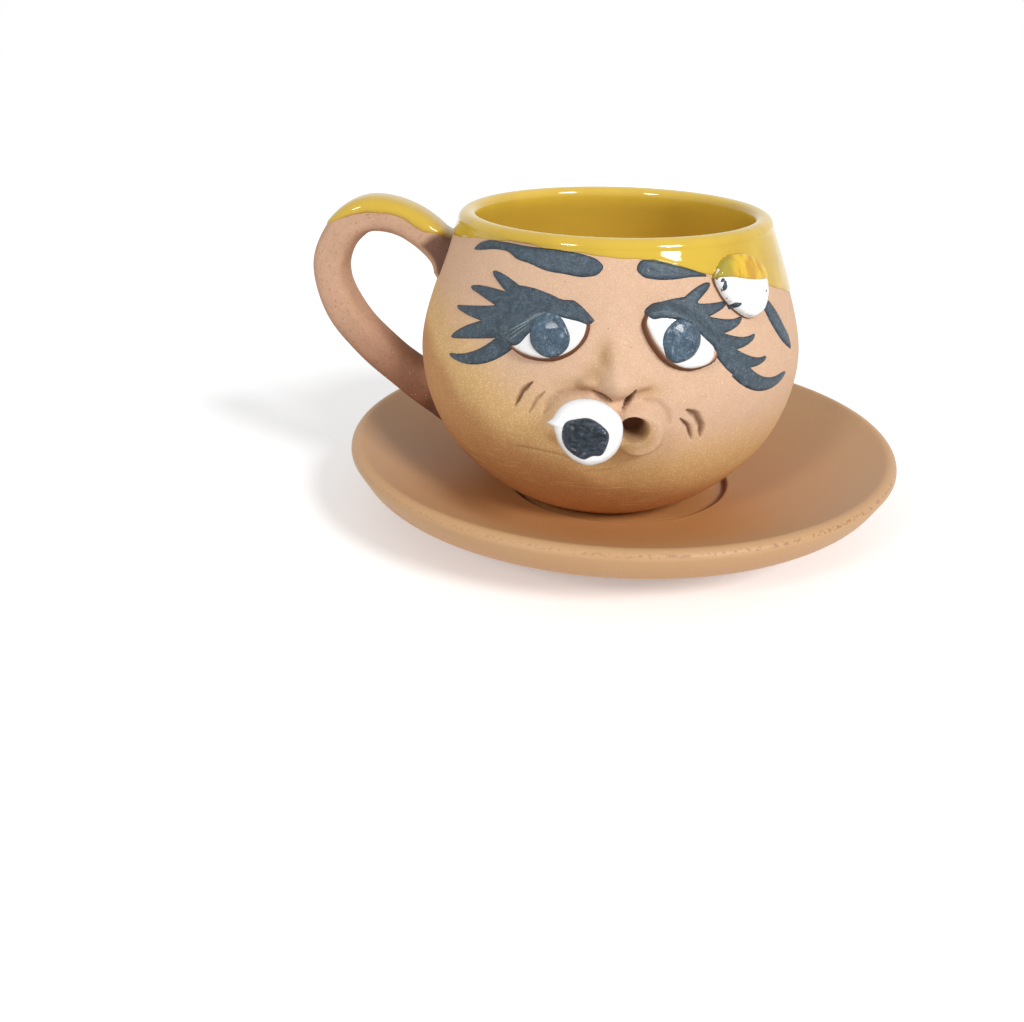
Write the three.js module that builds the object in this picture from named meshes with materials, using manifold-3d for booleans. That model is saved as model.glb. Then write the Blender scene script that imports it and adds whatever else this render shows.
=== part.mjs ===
// A thrown clay cup with a modelled and painted face, standing in the well of its saucer.
// Millimetres, +Z up. The origin is the middle of the saucer's flat base. The face looks along -Y
// and the handle is on the -X side.

import * as THREE from 'three';
import { mergeVertices } from 'three/addons/utils/BufferGeometryUtils.js';
import Module from 'manifold-3d';

const wasm = await Module();
wasm.setup();

// Fit: the clearance between pieces that lie on each other
const FIT_GAP = 0.3;

// Cup: heights are above the foot
const CUP_HEIGHT = 55.2;
const BELLY_RADIUS = 37;
const BELLY_HEIGHT = 29;
const FOOT_RADIUS = 17.4;
const RIM_RADIUS = 29.3;
const WALL = 3;
const FLOOR = 4;
const SHOULDER_BEND = 3;

// Saucer
const SAUCER_RADIUS = 55;
const SAUCER_HEIGHT = 15;
const SAUCER_BASE_RADIUS = 30;
const SAUCER_RIM = 1.6;
const RIM_ROLL = 120;
const SAUCER_SKIRT = 6.6;
const SAUCER_SKIRT_IN = 2.9;
const DISH_FLOOR = 4.8;
const DISH_CURVE = 1.6;
const WELL_DEPTH = 1.2;
const WELL_PLAY = 4.8;
const WELL_ROUND = 0.8;

// Handle: reaches are beyond the belly, drops are below the rim
const HANDLE_WIDTH = 9;
const HANDLE_THICKNESS = 6;
const HANDLE_LOW_THICKNESS = 7.4;
const HANDLE_TOP_DROP = 8.9;
const HANDLE_TOP_LEAN = 60;
const ARCH_REACH = 8.7;
const ARCH_DROP = 1.3;
const LOOP_REACH = 18;
const LOOP_DROP = 11.9;
const HANDLE_LOW_HEIGHT = 18.2;
const HANDLE_LOW_LEAN = 37;

// Coats of slip and glaze
const SLIP = 0.5;
const GLAZE = 0.5;
const DIP_DROP = 2.6;
const DIP_RUN = 7.8;
const HANDLE_DIP_DROP = 1.2;
const HANDLE_DIP_SLOPE = 0.1;

// Face: across is measured round the wall from the middle of the face, to the viewer's right is plus,
// and drop is measured down from the rim. Lean turns a pellet clockwise as the viewer sees it.
const LEFT_EYE = { across: -10.8, drop: 14, wide: 7.7, tall: 4.8, lean: -10, edge: 1, crown: 0.8 };
const RIGHT_EYE = { across: 11.6, drop: 14.4, wide: 7.4, tall: 4.7, lean: 25, edge: 1, crown: 0.8 };
const DISC = { across: 22.9, drop: 7.3, wide: 5.8, tall: 5.1, lean: 0, edge: 1.4, crown: 0.5 };
const IRIS_RADIUS = 3.3;
const IRIS_SHIFT = 0.1;
const IRIS_DROP = 0.7;
const LID_INNER_DROP = 1.9;
const LID_OUTER_DROP = 3.6;
const LID_BOW = 2.2;
const LASH_BAND = 1.9;
const BAND_TURN = 5;
const LASH_ROOT = 2.8;
const LASH_TIP = 0.4;
const LEFT_LASHES = [
  { turn: 149, reach: 14.2 },
  { turn: 167, reach: 18 },
  { turn: 180, reach: 21.3 },
  { turn: 193, reach: 22.4 },
  { turn: 201, reach: 23.6 },
];
const RIGHT_LASHES = [
  { turn: 54, reach: 9 },
  { turn: 25, reach: 9.8 },
  { turn: 6, reach: 12.8 },
  { turn: -6, reach: 16.2 },
  { turn: -17, reach: 20.3 },
  { turn: -21.5, reach: 29 },
];
const LEFT_BROW = { inner: -2, outer: -29, deep: 2.6 };
const RIGHT_BROW = { inner: 3.8, outer: 16.8, deep: 2.6 };
const BROW_TIP = 0.4;
const TAIL_START = 2.8;
const TAIL_LENGTH = 12;
const TAIL_LEAN = 47;
const TAIL_WIDTH = 2.4;
const NOSE = { across: 1, aboveMouth: 10, wide: 7, tall: 4.7, rise: 3.6 };
const NOSE_TIP_DROP = 1.6;
const NOSE_PINCH = 0.4;
const MOUTH = { across: 0.2, drop: 30.4, wide: 7, tall: 2.4 };
const LIP_WIDTH = 4;
const LIP_RISE = 4;
const PEG_RADIUS = 5.4;
const PEG_LENGTH = 11;
const PEG_ACROSS = -3.2;
const PEG_LIFT = 19;
const PEG_SIDE = -2;
const TIP_RADIUS = 3.9;
const TIP_THICKNESS = 0.7;

// Fineness of the facets
const TURN_STEPS = 48;
const BOWL_STEPS = 6;
const SHOULDER_STEPS = 5;
const LIP_STEPS = 6;
const DISH_STEPS = 7;
const DIP_STEPS = 24;
const PAD_STEPS = 24;
const RING_STEPS = 24;
const ARC_STEPS = 6;
const STROKE_STEPS = 5;
const BAND_STEPS = 8;
const HANDLE_STEPS = 28;
const HANDLE_SIDES = 12;

// Heights that follow from the sizes above
const LIP_HEIGHT = CUP_HEIGHT - WALL / 2;
const WELL_RADIUS = FOOT_RADIUS + WELL_PLAY;
const WELL_FLOOR = DISH_FLOOR - WELL_DEPTH;
const CUTTER_DEPTH = WALL / 2;
const BEYOND = 2 * CUP_HEIGHT;

const clay = { color: 0xb8734c, roughness: 0.85 };
const plateClay = { color: 0xb06f4d, roughness: 0.7 };
const whiteSlip = { color: 0xf1eee8, roughness: 0.35 };
const darkSlip = { color: 0x2a2d35, roughness: 0.6 };
const honeyGlaze = { color: 0xb8860f, roughness: 0.12 };

// The cup's round wall

// Radius of the outer wall: an ellipse from the foot to the belly, then a shoulder that straightens.
function wallRadius(height) {
  if (height < BELLY_HEIGHT) {
    const down = (BELLY_HEIGHT - height) / BELLY_HEIGHT;
    const tuck = 1 - (FOOT_RADIUS / BELLY_RADIUS) ** 2;
    return BELLY_RADIUS * Math.sqrt(1 - tuck * down ** 2);
  }
  const up = (height - BELLY_HEIGHT) / (LIP_HEIGHT - BELLY_HEIGHT);
  const bend = (Math.hypot(1, SHOULDER_BEND * up) - 1) / (Math.hypot(1, SHOULDER_BEND) - 1);
  return BELLY_RADIUS - (BELLY_RADIUS - RIM_RADIUS) * bend;
}

// How fast the radius grows with height.
function wallSlope(height) {
  const step = 0.01;
  return (wallRadius(height + step) - wallRadius(height - step)) / (2 * step);
}

function outerRadius(height, offset) {
  return wallRadius(height) + offset * Math.hypot(1, wallSlope(height));
}

function hollowRadius(height, offset) {
  return outerRadius(height, -WALL - offset);
}

function spaced(from, to, steps) {
  return Array.from({ length: steps + 1 }, (_, i) => from + ((to - from) * i) / steps);
}

// Heights from a low one to the lip, with the belly among them where it lies between.
function wallHeights(lowest) {
  const shoulder = spaced(Math.max(lowest, BELLY_HEIGHT), LIP_HEIGHT, SHOULDER_STEPS);
  const bowl = lowest < BELLY_HEIGHT ? spaced(lowest, BELLY_HEIGHT, BOWL_STEPS).slice(0, -1) : [];
  return [...bowl, ...shoulder];
}

function outerProfile(lowest, offset) {
  return wallHeights(lowest).map((h) => new THREE.Vector2(outerRadius(h, offset), h));
}

function hollowProfile(offset) {
  return wallHeights(FLOOR + offset).map((h) => new THREE.Vector2(hollowRadius(h, offset), h));
}

// The lip's round top from the outside to the hollow, without its two ends.
function lipProfile(offset) {
  const outside = outerRadius(LIP_HEIGHT, offset);
  const inside = hollowRadius(LIP_HEIGHT, offset);
  const middle = (outside + inside) / 2;
  const rise = CUP_HEIGHT - LIP_HEIGHT + offset;
  return spaced(0, Math.PI, LIP_STEPS).slice(1, -1).map((angle) => new THREE.Vector2(
    middle + ((outside - inside) / 2) * Math.cos(angle),
    LIP_HEIGHT + rise * Math.sin(angle),
  ));
}

// A point on the face: so far round the wall, so far below the rim, and lifted off the wall.
function onWall(across, drop, lift) {
  const height = CUP_HEIGHT - drop;
  const radius = wallRadius(height);
  const slope = wallSlope(height);
  const turn = across / radius;
  const reach = radius + lift / Math.hypot(1, slope);
  const rise = (-lift * slope) / Math.hypot(1, slope);
  return new THREE.Vector3(reach * Math.sin(turn), -reach * Math.cos(turn), height + rise);
}

// Bodies from profiles and rings

function lathe(profile) {
  return new THREE.LatheGeometry(profile, TURN_STEPS).rotateX(Math.PI / 2);
}

// Skins a closed body over rings that have equally many points. It is closed at two end points,
// or runs round into itself where none are given.
function loft(rings, ends) {
  const size = rings[0].length;
  const points = rings.flat();
  const index = [];
  const spans = ends ? rings.length - 1 : rings.length;
  for (let i = 0; i < spans; i += 1) {
    const next = (i + 1) % rings.length;
    for (let j = 0; j < size; j += 1) {
      const k = (j + 1) % size;
      const [a, b] = [i * size + j, i * size + k];
      const [c, d] = [next * size + k, next * size + j];
      index.push(a, b, c, a, c, d);
    }
  }
  if (ends) {
    const last = (rings.length - 1) * size;
    const [start, finish] = [points.length, points.length + 1];
    points.push(...ends);
    for (let j = 0; j < size; j += 1) {
      const k = (j + 1) % size;
      index.push(start, k, j, finish, last + j, last + k);
    }
  }
  const geometry = new THREE.BufferGeometry().setFromPoints(points);
  geometry.setIndex(index);
  return geometry;
}

function solid(geometry) {
  const bare = geometry.clone();
  bare.deleteAttribute('normal');
  bare.deleteAttribute('uv');
  const merged = mergeVertices(bare);
  return new wasm.Manifold(new wasm.Mesh({
    numProp: 3,
    vertProperties: new Float32Array(merged.attributes.position.array),
    triVerts: new Uint32Array(merged.index.array),
  }));
}

function shape(body) {
  const mesh = body.getMesh();
  const geometry = new THREE.BufferGeometry();
  geometry.setAttribute('position', new THREE.BufferAttribute(new Float32Array(mesh.vertProperties), 3));
  geometry.setIndex(new THREE.BufferAttribute(new Uint32Array(mesh.triVerts), 1));
  geometry.computeVertexNormals();
  return geometry;
}

function middleOf(ring) {
  return ring.reduce((sum, p) => sum.add(p), new THREE.Vector3()).divideScalar(ring.length);
}

// A band of paint on the wall: at each station an upper and a lower edge, as [across, drop].
function band(stations, lowLift, highLift) {
  const rings = stations.map(([upper, lower]) => [
    onWall(...upper, lowLift),
    onWall(...upper, highLift),
    onWall(...lower, highLift),
    onWall(...lower, lowLift),
  ]);
  return loft(rings, [middleOf(rings[0]), middleOf(rings[rings.length - 1])]);
}

// A brush stroke along a curve on the wall, drawn from left to right. Its width depends on the share
// of the way.
function stroke(curve, steps, widthAt) {
  const stations = spaced(0, 1, steps).map((t) => {
    const at = curve.getPoint(t);
    const along = curve.getTangent(t);
    const half = widthAt(t) / 2;
    return [
      [at.x + along.y * half, at.y - along.x * half],
      [at.x - along.y * half, at.y + along.x * half],
    ];
  });
  return band(stations, FIT_GAP, FIT_GAP + SLIP);
}

// Pellets pressed on to the wall

// A point of a pellet: turn is in degrees, anticlockwise from the viewer's right.
function onPellet(pellet, turn, share, grow = 0) {
  const angle = THREE.MathUtils.degToRad(turn);
  const lean = THREE.MathUtils.degToRad(pellet.lean);
  const x = share * (pellet.wide + grow) * Math.cos(angle);
  const y = -share * (pellet.tall + grow) * Math.sin(angle);
  return [
    pellet.across + x * Math.cos(lean) - y * Math.sin(lean),
    pellet.drop + x * Math.sin(lean) + y * Math.cos(lean),
  ];
}

// How far a pellet's domed top stands off the wall at a point.
function domeLift(pellet, across, drop) {
  const lean = THREE.MathUtils.degToRad(pellet.lean);
  const [x, y] = [across - pellet.across, drop - pellet.drop];
  const u = (x * Math.cos(lean) + y * Math.sin(lean)) / pellet.wide;
  const v = (y * Math.cos(lean) - x * Math.sin(lean)) / pellet.tall;
  return pellet.edge + pellet.crown * Math.max(0, 1 - u * u - v * v);
}

// A pad with an oval outline between two lifts, each given as a function of the place on the wall.
function pad(pellet, grow, lowLift, highLift) {
  const turns = spaced(0, 360, PAD_STEPS).slice(0, -1);
  const ring = (share, lift) => turns.map((turn) => {
    const [across, drop] = onPellet(pellet, turn, share, grow);
    return onWall(across, drop, lift(across, drop));
  });
  const middle = (lift) => onWall(pellet.across, pellet.drop, lift(pellet.across, pellet.drop));
  const half = 0.5;
  const rings = [ring(half, lowLift), ring(1, lowLift), ring(1, highLift), ring(half, highLift)];
  return loft(rings, [middle(lowLift), middle(highLift)]);
}

function pellet(form, grow = 0, lowLift = FIT_GAP) {
  return pad(form, grow, () => lowLift, (across, drop) => domeLift(form, across, drop) + grow);
}

function pelletCutter(form, grow) {
  return solid(pellet(form, grow, -CUTTER_DEPTH));
}

// The thrown pieces

// The rim rolls over until it falls as the dish does, and the dish runs on from there.
function saucer() {
  const crown = SAUCER_HEIGHT - SAUCER_RIM;
  const rimMiddle = SAUCER_RADIUS - SAUCER_RIM;
  const rim = spaced(0, THREE.MathUtils.degToRad(RIM_ROLL), LIP_STEPS).map((angle) => new THREE.Vector2(
    rimMiddle + SAUCER_RIM * Math.cos(angle),
    crown + SAUCER_RIM * Math.sin(angle),
  ));
  const dishTop = rim[rim.length - 1];
  const wellEdge = WELL_RADIUS + WELL_ROUND;
  const dish = spaced(1, 0, DISH_STEPS).slice(1).map((share) => new THREE.Vector2(
    wellEdge + (dishTop.x - wellEdge) * share,
    DISH_FLOOR + (dishTop.y - DISH_FLOOR) * share ** DISH_CURVE,
  ));
  return lathe([
    new THREE.Vector2(0, 0),
    new THREE.Vector2(SAUCER_BASE_RADIUS, 0),
    new THREE.Vector2(SAUCER_RADIUS - SAUCER_SKIRT_IN, SAUCER_HEIGHT - SAUCER_SKIRT),
    ...rim,
    ...dish,
    new THREE.Vector2(WELL_RADIUS, WELL_FLOOR),
    new THREE.Vector2(0, WELL_FLOOR),
  ]);
}

function cupBody() {
  return lathe([
    new THREE.Vector2(0, 0),
    ...outerProfile(0, 0),
    ...lipProfile(0),
    ...hollowProfile(0).reverse(),
    new THREE.Vector2(0, FLOOR),
  ]);
}

// The cup filled to the brim and grown by an offset: what is cut off whatever sits against the wall.
function cupCore(offset) {
  return solid(lathe([
    new THREE.Vector2(0, -offset),
    ...outerProfile(0, offset),
    new THREE.Vector2(0, CUP_HEIGHT + offset),
  ]));
}

// The handle

const besideCup = (reach, height) => new THREE.Vector3(-reach, 0, height);
const heading = (degrees) => {
  const angle = THREE.MathUtils.degToRad(degrees);
  return besideCup(Math.cos(angle), Math.sin(angle));
};

// A bend between two points that leaves and arrives in given directions.
function bend(from, leaving, to, arriving) {
  const pull = from.distanceTo(to) / 3;
  return new THREE.CubicBezierCurve3(
    from,
    from.clone().addScaledVector(leaving, pull),
    to.clone().addScaledVector(arriving, -pull),
    to,
  );
}

function handlePath() {
  const topHeight = CUP_HEIGHT - HANDLE_TOP_DROP;
  const top = besideCup(wallRadius(topHeight), topHeight);
  const arch = besideCup(BELLY_RADIUS + ARCH_REACH, CUP_HEIGHT - ARCH_DROP);
  const loop = besideCup(BELLY_RADIUS + LOOP_REACH, CUP_HEIGHT - LOOP_DROP);
  const low = besideCup(wallRadius(HANDLE_LOW_HEIGHT), HANDLE_LOW_HEIGHT);
  const out = heading(HANDLE_TOP_LEAN);
  const home = heading(180 + HANDLE_LOW_LEAN);
  const level = heading(0);
  const down = heading(-90);
  const path = new THREE.CurvePath();
  path.add(new THREE.LineCurve3(top.clone().addScaledVector(out, -HANDLE_LOW_THICKNESS), top));
  path.add(bend(top, out, arch, level));
  path.add(bend(arch, level, loop, down));
  path.add(bend(loop, down, low, home));
  path.add(new THREE.LineCurve3(low, low.clone().addScaledVector(home, HANDLE_LOW_THICKNESS)));
  return path;
}

// The strap with an oval section, grown all round.
function strap(grow) {
  const path = handlePath();
  const across = new THREE.Vector3(0, 1, 0);
  const rings = spaced(0, 1, HANDLE_STEPS).map((t) => {
    const at = path.getPointAt(t);
    const outward = across.clone().cross(path.getTangentAt(t));
    const thickness = HANDLE_THICKNESS + (HANDLE_LOW_THICKNESS - HANDLE_THICKNESS) * t;
    return spaced(0, 2 * Math.PI, HANDLE_SIDES).slice(0, -1).map((angle) => at.clone()
      .addScaledVector(outward, (thickness / 2 + grow) * Math.cos(angle))
      .addScaledVector(across, (HANDLE_WIDTH / 2 + grow) * Math.sin(angle)));
  });
  return solid(loft(rings, [path.getPointAt(0), path.getPointAt(1)]));
}

function handle() {
  return shape(strap(0).subtract(cupCore(FIT_GAP)));
}

// Glaze, caught where the cup was dipped upside down

// Everything under a line drawn in the X-Z plane.
function under(outline) {
  const depth = 2 * BEYOND;
  const block = new THREE.ExtrudeGeometry(outline, { depth, bevelEnabled: false, curveSegments: DIP_STEPS });
  return solid(block.translate(0, 0, -BEYOND).rotateX(Math.PI / 2));
}

function dipDrop(x) {
  return DIP_DROP + DIP_RUN * (Math.max(0, x) / RIM_RADIUS) ** 2;
}

// The dip line is level on the handle's side and falls away in a parabola on the other.
function underDip() {
  const level = CUP_HEIGHT - dipDrop(0);
  const outline = new THREE.Shape();
  outline.moveTo(-BEYOND, -BEYOND);
  outline.lineTo(2 * BELLY_RADIUS, -BEYOND);
  outline.lineTo(2 * BELLY_RADIUS, CUP_HEIGHT - dipDrop(2 * BELLY_RADIUS));
  outline.quadraticCurveTo(BELLY_RADIUS, level, 0, level);
  outline.lineTo(-BEYOND, level);
  return under(outline);
}

function glazeLining() {
  const inner = FIT_GAP;
  const outer = FIT_GAP + GLAZE;
  const lowest = CUP_HEIGHT - 2 * (DIP_DROP + DIP_RUN);
  const coat = solid(lathe([
    new THREE.Vector2(0, FLOOR + inner),
    ...hollowProfile(inner),
    ...lipProfile(inner).reverse(),
    ...outerProfile(lowest, inner).reverse(),
    ...outerProfile(lowest, outer),
    ...lipProfile(outer),
    ...hollowProfile(outer).reverse(),
    new THREE.Vector2(0, FLOOR + outer),
  ]));
  const bareOutside = underDip().subtract(cupCore(0));
  return shape(coat.subtract(bareOutside).subtract(pelletCutter(DISC, GLAZE + 2 * FIT_GAP)));
}

// The handle's dip line falls towards the cup, where the glaze ran down.
function handleGlaze() {
  const far = BELLY_RADIUS + LOOP_REACH + HANDLE_THICKNESS;
  const level = CUP_HEIGHT - HANDLE_DIP_DROP;
  const outline = new THREE.Shape();
  outline.moveTo(-far, -BEYOND);
  outline.lineTo(0, -BEYOND);
  outline.lineTo(0, level - far * HANDLE_DIP_SLOPE);
  outline.lineTo(-far, level);
  const coat = strap(FIT_GAP + GLAZE).subtract(strap(FIT_GAP));
  return shape(coat.subtract(under(outline)).subtract(cupCore(FIT_GAP)));
}

function discGlaze() {
  const coat = solid(pellet(DISC, FIT_GAP + GLAZE)).subtract(pelletCutter(DISC, FIT_GAP));
  return shape(coat.subtract(underDip()));
}

// The mouth and what is in it

// A peg that stands out of the wall, between two distances along its own axis.
function peg(radius, from, to) {
  const foot = onWall(PEG_ACROSS, MOUTH.drop, 0);
  const bar = new THREE.CylinderGeometry(radius, radius, to - from, PAD_STEPS);
  bar.translate(0, -(from + to) / 2, 0);
  bar.rotateX(-THREE.MathUtils.degToRad(PEG_LIFT));
  bar.rotateZ(THREE.MathUtils.degToRad(PEG_SIDE));
  return bar.translate(foot.x, foot.y, foot.z);
}

function pegCutter() {
  return solid(peg(PEG_RADIUS + FIT_GAP, -PEG_RADIUS, PEG_LENGTH + PEG_RADIUS));
}

function cigarette() {
  return shape(solid(peg(PEG_RADIUS, -PEG_RADIUS, PEG_LENGTH)).subtract(cupCore(FIT_GAP)));
}

function cigaretteTip() {
  return peg(TIP_RADIUS, PEG_LENGTH + FIT_GAP, PEG_LENGTH + FIT_GAP + TIP_THICKNESS);
}

// A ring of clay round the mouth, with a round back, grown all round.
function lipRing(grow) {
  const lowLift = FIT_GAP - grow;
  const highLift = FIT_GAP + LIP_RISE + grow;
  const rings = spaced(0, 2 * Math.PI, RING_STEPS).slice(0, -1).map((angle) => {
    const [outX, outY] = [Math.cos(angle), Math.sin(angle)];
    return spaced(Math.PI, 0, ARC_STEPS).map((over) => {
      const out = (LIP_WIDTH / 2 + grow) * (1 - Math.cos(over)) - grow;
      const across = MOUTH.across + (MOUTH.wide + out) * outX;
      const drop = MOUTH.drop + (MOUTH.tall + out) * outY;
      return onWall(across, drop, lowLift + (highLift - lowLift) * Math.sin(over));
    });
  });
  return solid(loft(rings));
}

function lips() {
  return shape(lipRing(0).subtract(pegCutter()));
}

// A pear-shaped lump, narrow between the eyes, that rises to the tip of the nose.
function nose() {
  const middle = MOUTH.drop - NOSE.aboveMouth;
  const tip = [NOSE.across, middle + NOSE_TIP_DROP];
  const outline = spaced(0, 2 * Math.PI, PAD_STEPS).slice(0, -1).map((angle) => {
    const down = -Math.cos(angle);
    const flare = 1 - NOSE_PINCH + NOSE_PINCH * down;
    return [NOSE.across - NOSE.wide * Math.sin(angle) * flare, middle + NOSE.tall * down];
  });
  const ring = (inward, lift) => outline.map(([across, drop]) => onWall(
    across + (tip[0] - across) * inward,
    drop + (tip[1] - drop) * inward,
    lift,
  ));
  const half = 0.5;
  const top = FIT_GAP + NOSE.rise;
  const rings = [
    ring(half, FIT_GAP),
    ring(0, FIT_GAP),
    ...spaced(0, Math.PI / 2, LIP_STEPS).slice(1, -1).map((rise) => ring(
      1 - Math.cos(rise),
      FIT_GAP + NOSE.rise * Math.sin(rise),
    )),
  ];
  const lump = solid(loft(rings, [onWall(...tip, FIT_GAP), onWall(...tip, top)]));
  return shape(lump.subtract(pegCutter()).subtract(lipRing(FIT_GAP)));
}

// Eyes, lids and lashes

function irisOf(eye) {
  return {
    ...eye,
    across: eye.across + IRIS_SHIFT,
    drop: eye.drop + IRIS_DROP,
    wide: IRIS_RADIUS,
    tall: IRIS_RADIUS,
  };
}

function iris(eye) {
  const lift = (extra) => (across, drop) => domeLift(eye, across, drop) + extra;
  return pad(irisOf(eye), 0, lift(FIT_GAP), lift(FIT_GAP + SLIP));
}

// Dark slip over the upper part of an eye pellet. Outward is -1 for the left eye and 1 for the right.
function eyelid(eye, outward) {
  const coat = solid(pellet(eye, FIT_GAP + SLIP)).subtract(pelletCutter(eye, FIT_GAP));
  const reach = eye.wide + LASH_BAND;
  const high = eye.drop - reach;
  const region = spaced(-1, 1, ARC_STEPS).map((share) => {
    const inward = (1 - share * outward) / 2;
    const ends = LID_OUTER_DROP * (1 - inward) - LID_INNER_DROP * inward;
    const edge = eye.drop + ends - LID_BOW * (1 - share ** 2);
    const across = eye.across + reach * share;
    return [[across, high], [across, edge]];
  });
  const iris = pad(irisOf(eye), FIT_GAP, () => -CUTTER_DEPTH, () => reach);
  return shape(coat.intersect(solid(band(region, -CUTTER_DEPTH, reach))).subtract(solid(iris)));
}

// A band over the top of the eye, and lashes that fan out from it.
function lashes(eye, fan, cutters) {
  const offset = FIT_GAP + SLIP + FIT_GAP + LASH_BAND / 2;
  const over = spaced(180 + BAND_TURN, -BAND_TURN, BAND_STEPS).map((turn) => {
    return new THREE.Vector2(...onPellet(eye, turn, 1, offset));
  });
  const lid = solid(stroke(new THREE.SplineCurve(over), BAND_STEPS, () => LASH_BAND));
  const body = fan.reduce((whole, { turn, reach }) => {
    const angle = THREE.MathUtils.degToRad(turn);
    const way = new THREE.Vector2(Math.cos(angle), -Math.sin(angle));
    const root = new THREE.Vector2(...onPellet(eye, turn + eye.lean, 1));
    const tip = new THREE.Vector2(eye.across, eye.drop).addScaledVector(way, reach);
    const line = way.x < 0 ? new THREE.LineCurve(tip, root) : new THREE.LineCurve(root, tip);
    const widthAt = (t) => LASH_TIP + (LASH_ROOT - LASH_TIP) * Math.sqrt(way.x < 0 ? t : 1 - t);
    return whole.add(solid(stroke(line, STROKE_STEPS, widthAt)));
  }, lid);
  const clear = body.subtract(pelletCutter(eye, FIT_GAP + SLIP + FIT_GAP));
  return shape(cutters.reduce((rest, cutter) => rest.subtract(cutter), clear));
}

// Brows, close under the dip line

function brow({ inner, outer, deep }) {
  const [left, right] = inner < outer ? [inner, outer] : [outer, inner];
  const stations = spaced(left, right, STROKE_STEPS).map((across) => {
    const share = (across - outer) / (inner - outer);
    const upper = dipDrop(across) + FIT_GAP;
    const width = BROW_TIP + (deep - BROW_TIP) * Math.sin((share * Math.PI) / 2);
    return [[across, upper], [across, upper + width]];
  });
  return band(stations, FIT_GAP, FIT_GAP + SLIP);
}

function browTail() {
  const angle = THREE.MathUtils.degToRad(TAIL_LEAN);
  const across = DISC.across + DISC.wide + TAIL_START;
  const start = new THREE.Vector2(across, dipDrop(across) + FIT_GAP);
  const end = start.clone().addScaledVector(new THREE.Vector2(Math.cos(angle), Math.sin(angle)), TAIL_LENGTH);
  const widthAt = (t) => BROW_TIP + (TAIL_WIDTH - BROW_TIP) * Math.sin(Math.PI * t);
  return stroke(new THREE.LineCurve(start, end), STROKE_STEPS, widthAt);
}

// The whole set

function piece(name, geometry, finish) {
  const mesh = new THREE.Mesh(geometry, new THREE.MeshStandardMaterial({ metalness: 0, ...finish }));
  mesh.name = name;
  return mesh;
}

const discClear = pelletCutter(DISC, GLAZE + 2 * FIT_GAP);
const cup = new THREE.Group();
cup.add(
  piece('cup_body', cupBody(), clay),
  piece('handle', handle(), clay),
  piece('glaze_lining', glazeLining(), honeyGlaze),
  piece('handle_glaze', handleGlaze(), honeyGlaze),
  piece('nose', nose(), clay),
  piece('lips', lips(), clay),
  piece('cigarette', cigarette(), whiteSlip),
  piece('cigarette_tip', cigaretteTip(), darkSlip),
  piece('left_eye', pellet(LEFT_EYE), whiteSlip),
  piece('right_eye', pellet(RIGHT_EYE), whiteSlip),
  piece('left_iris', iris(LEFT_EYE), darkSlip),
  piece('right_iris', iris(RIGHT_EYE), darkSlip),
  piece('left_eyelid', eyelid(LEFT_EYE, -1), darkSlip),
  piece('right_eyelid', eyelid(RIGHT_EYE, 1), darkSlip),
  piece('left_lashes', lashes(LEFT_EYE, LEFT_LASHES, []), darkSlip),
  piece('right_lashes', lashes(RIGHT_EYE, RIGHT_LASHES, [discClear]), darkSlip),
  piece('left_brow', brow(LEFT_BROW), darkSlip),
  piece('right_brow', brow(RIGHT_BROW), darkSlip),
  piece('right_brow_tail', browTail(), darkSlip),
  piece('forehead_disc', pellet(DISC), whiteSlip),
  piece('disc_glaze', discGlaze(), honeyGlaze),
);
// The cup stands as far towards its handle's side as the edge of the well lets its wall go.
const wellEdge = WELL_RADIUS + WELL_ROUND;
const cupShift = wellEdge - outerRadius(WELL_DEPTH - FIT_GAP, FIT_GAP);
cup.position.set(-cupShift, 0, WELL_FLOOR + FIT_GAP);

const set = new THREE.Group();
set.add(piece('saucer', saucer(), plateClay), cup);

export default set;
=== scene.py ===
"""The looks of a thrown clay cup with a modelled and painted face, standing in its saucer.

Sizes are in millimetres up to the point where a mesh is made. A place on the face is given as (across, drop):
how far round the wall from the middle of the face, plus to the viewer's right, and how far below the rim.
"""

from __future__ import annotations

import logging
import math
from dataclasses import dataclass
from enum import Enum
from functools import cached_property
from typing import Callable, Sequence

import bmesh
import bpy
import numpy as np
from mathutils import Matrix, Vector
from mathutils.geometry import delaunay_2d_cdt


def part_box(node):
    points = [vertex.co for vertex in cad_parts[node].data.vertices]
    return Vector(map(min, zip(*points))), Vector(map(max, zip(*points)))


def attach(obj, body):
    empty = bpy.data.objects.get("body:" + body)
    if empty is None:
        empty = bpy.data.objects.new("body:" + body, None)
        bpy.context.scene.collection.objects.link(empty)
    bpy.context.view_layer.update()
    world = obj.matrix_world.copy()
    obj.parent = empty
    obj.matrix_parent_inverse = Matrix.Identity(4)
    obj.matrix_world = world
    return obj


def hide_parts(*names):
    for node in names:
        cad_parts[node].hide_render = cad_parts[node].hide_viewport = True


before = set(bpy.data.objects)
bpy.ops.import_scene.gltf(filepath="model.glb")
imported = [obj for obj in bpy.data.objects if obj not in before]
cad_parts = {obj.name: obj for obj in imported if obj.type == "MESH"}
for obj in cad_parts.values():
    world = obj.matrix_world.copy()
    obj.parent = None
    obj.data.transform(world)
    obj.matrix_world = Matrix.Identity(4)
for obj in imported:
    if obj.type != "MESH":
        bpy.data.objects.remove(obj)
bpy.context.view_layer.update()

LOG = logging.getLogger("cup")
MM = 0.001
TINY = 1e-12

Colour = tuple[float, float, float]
Stretch = tuple[float, float, float]
Place = tuple[float, float]
Span = tuple[float, float]
Array = np.ndarray
Mesh = bpy.types.Mesh
Material = bpy.types.Material


class Body(Enum):
    """The bodies of the frame that pieces ride on."""

    CUP = "cup"
    SAUCER = "saucer"


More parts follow.
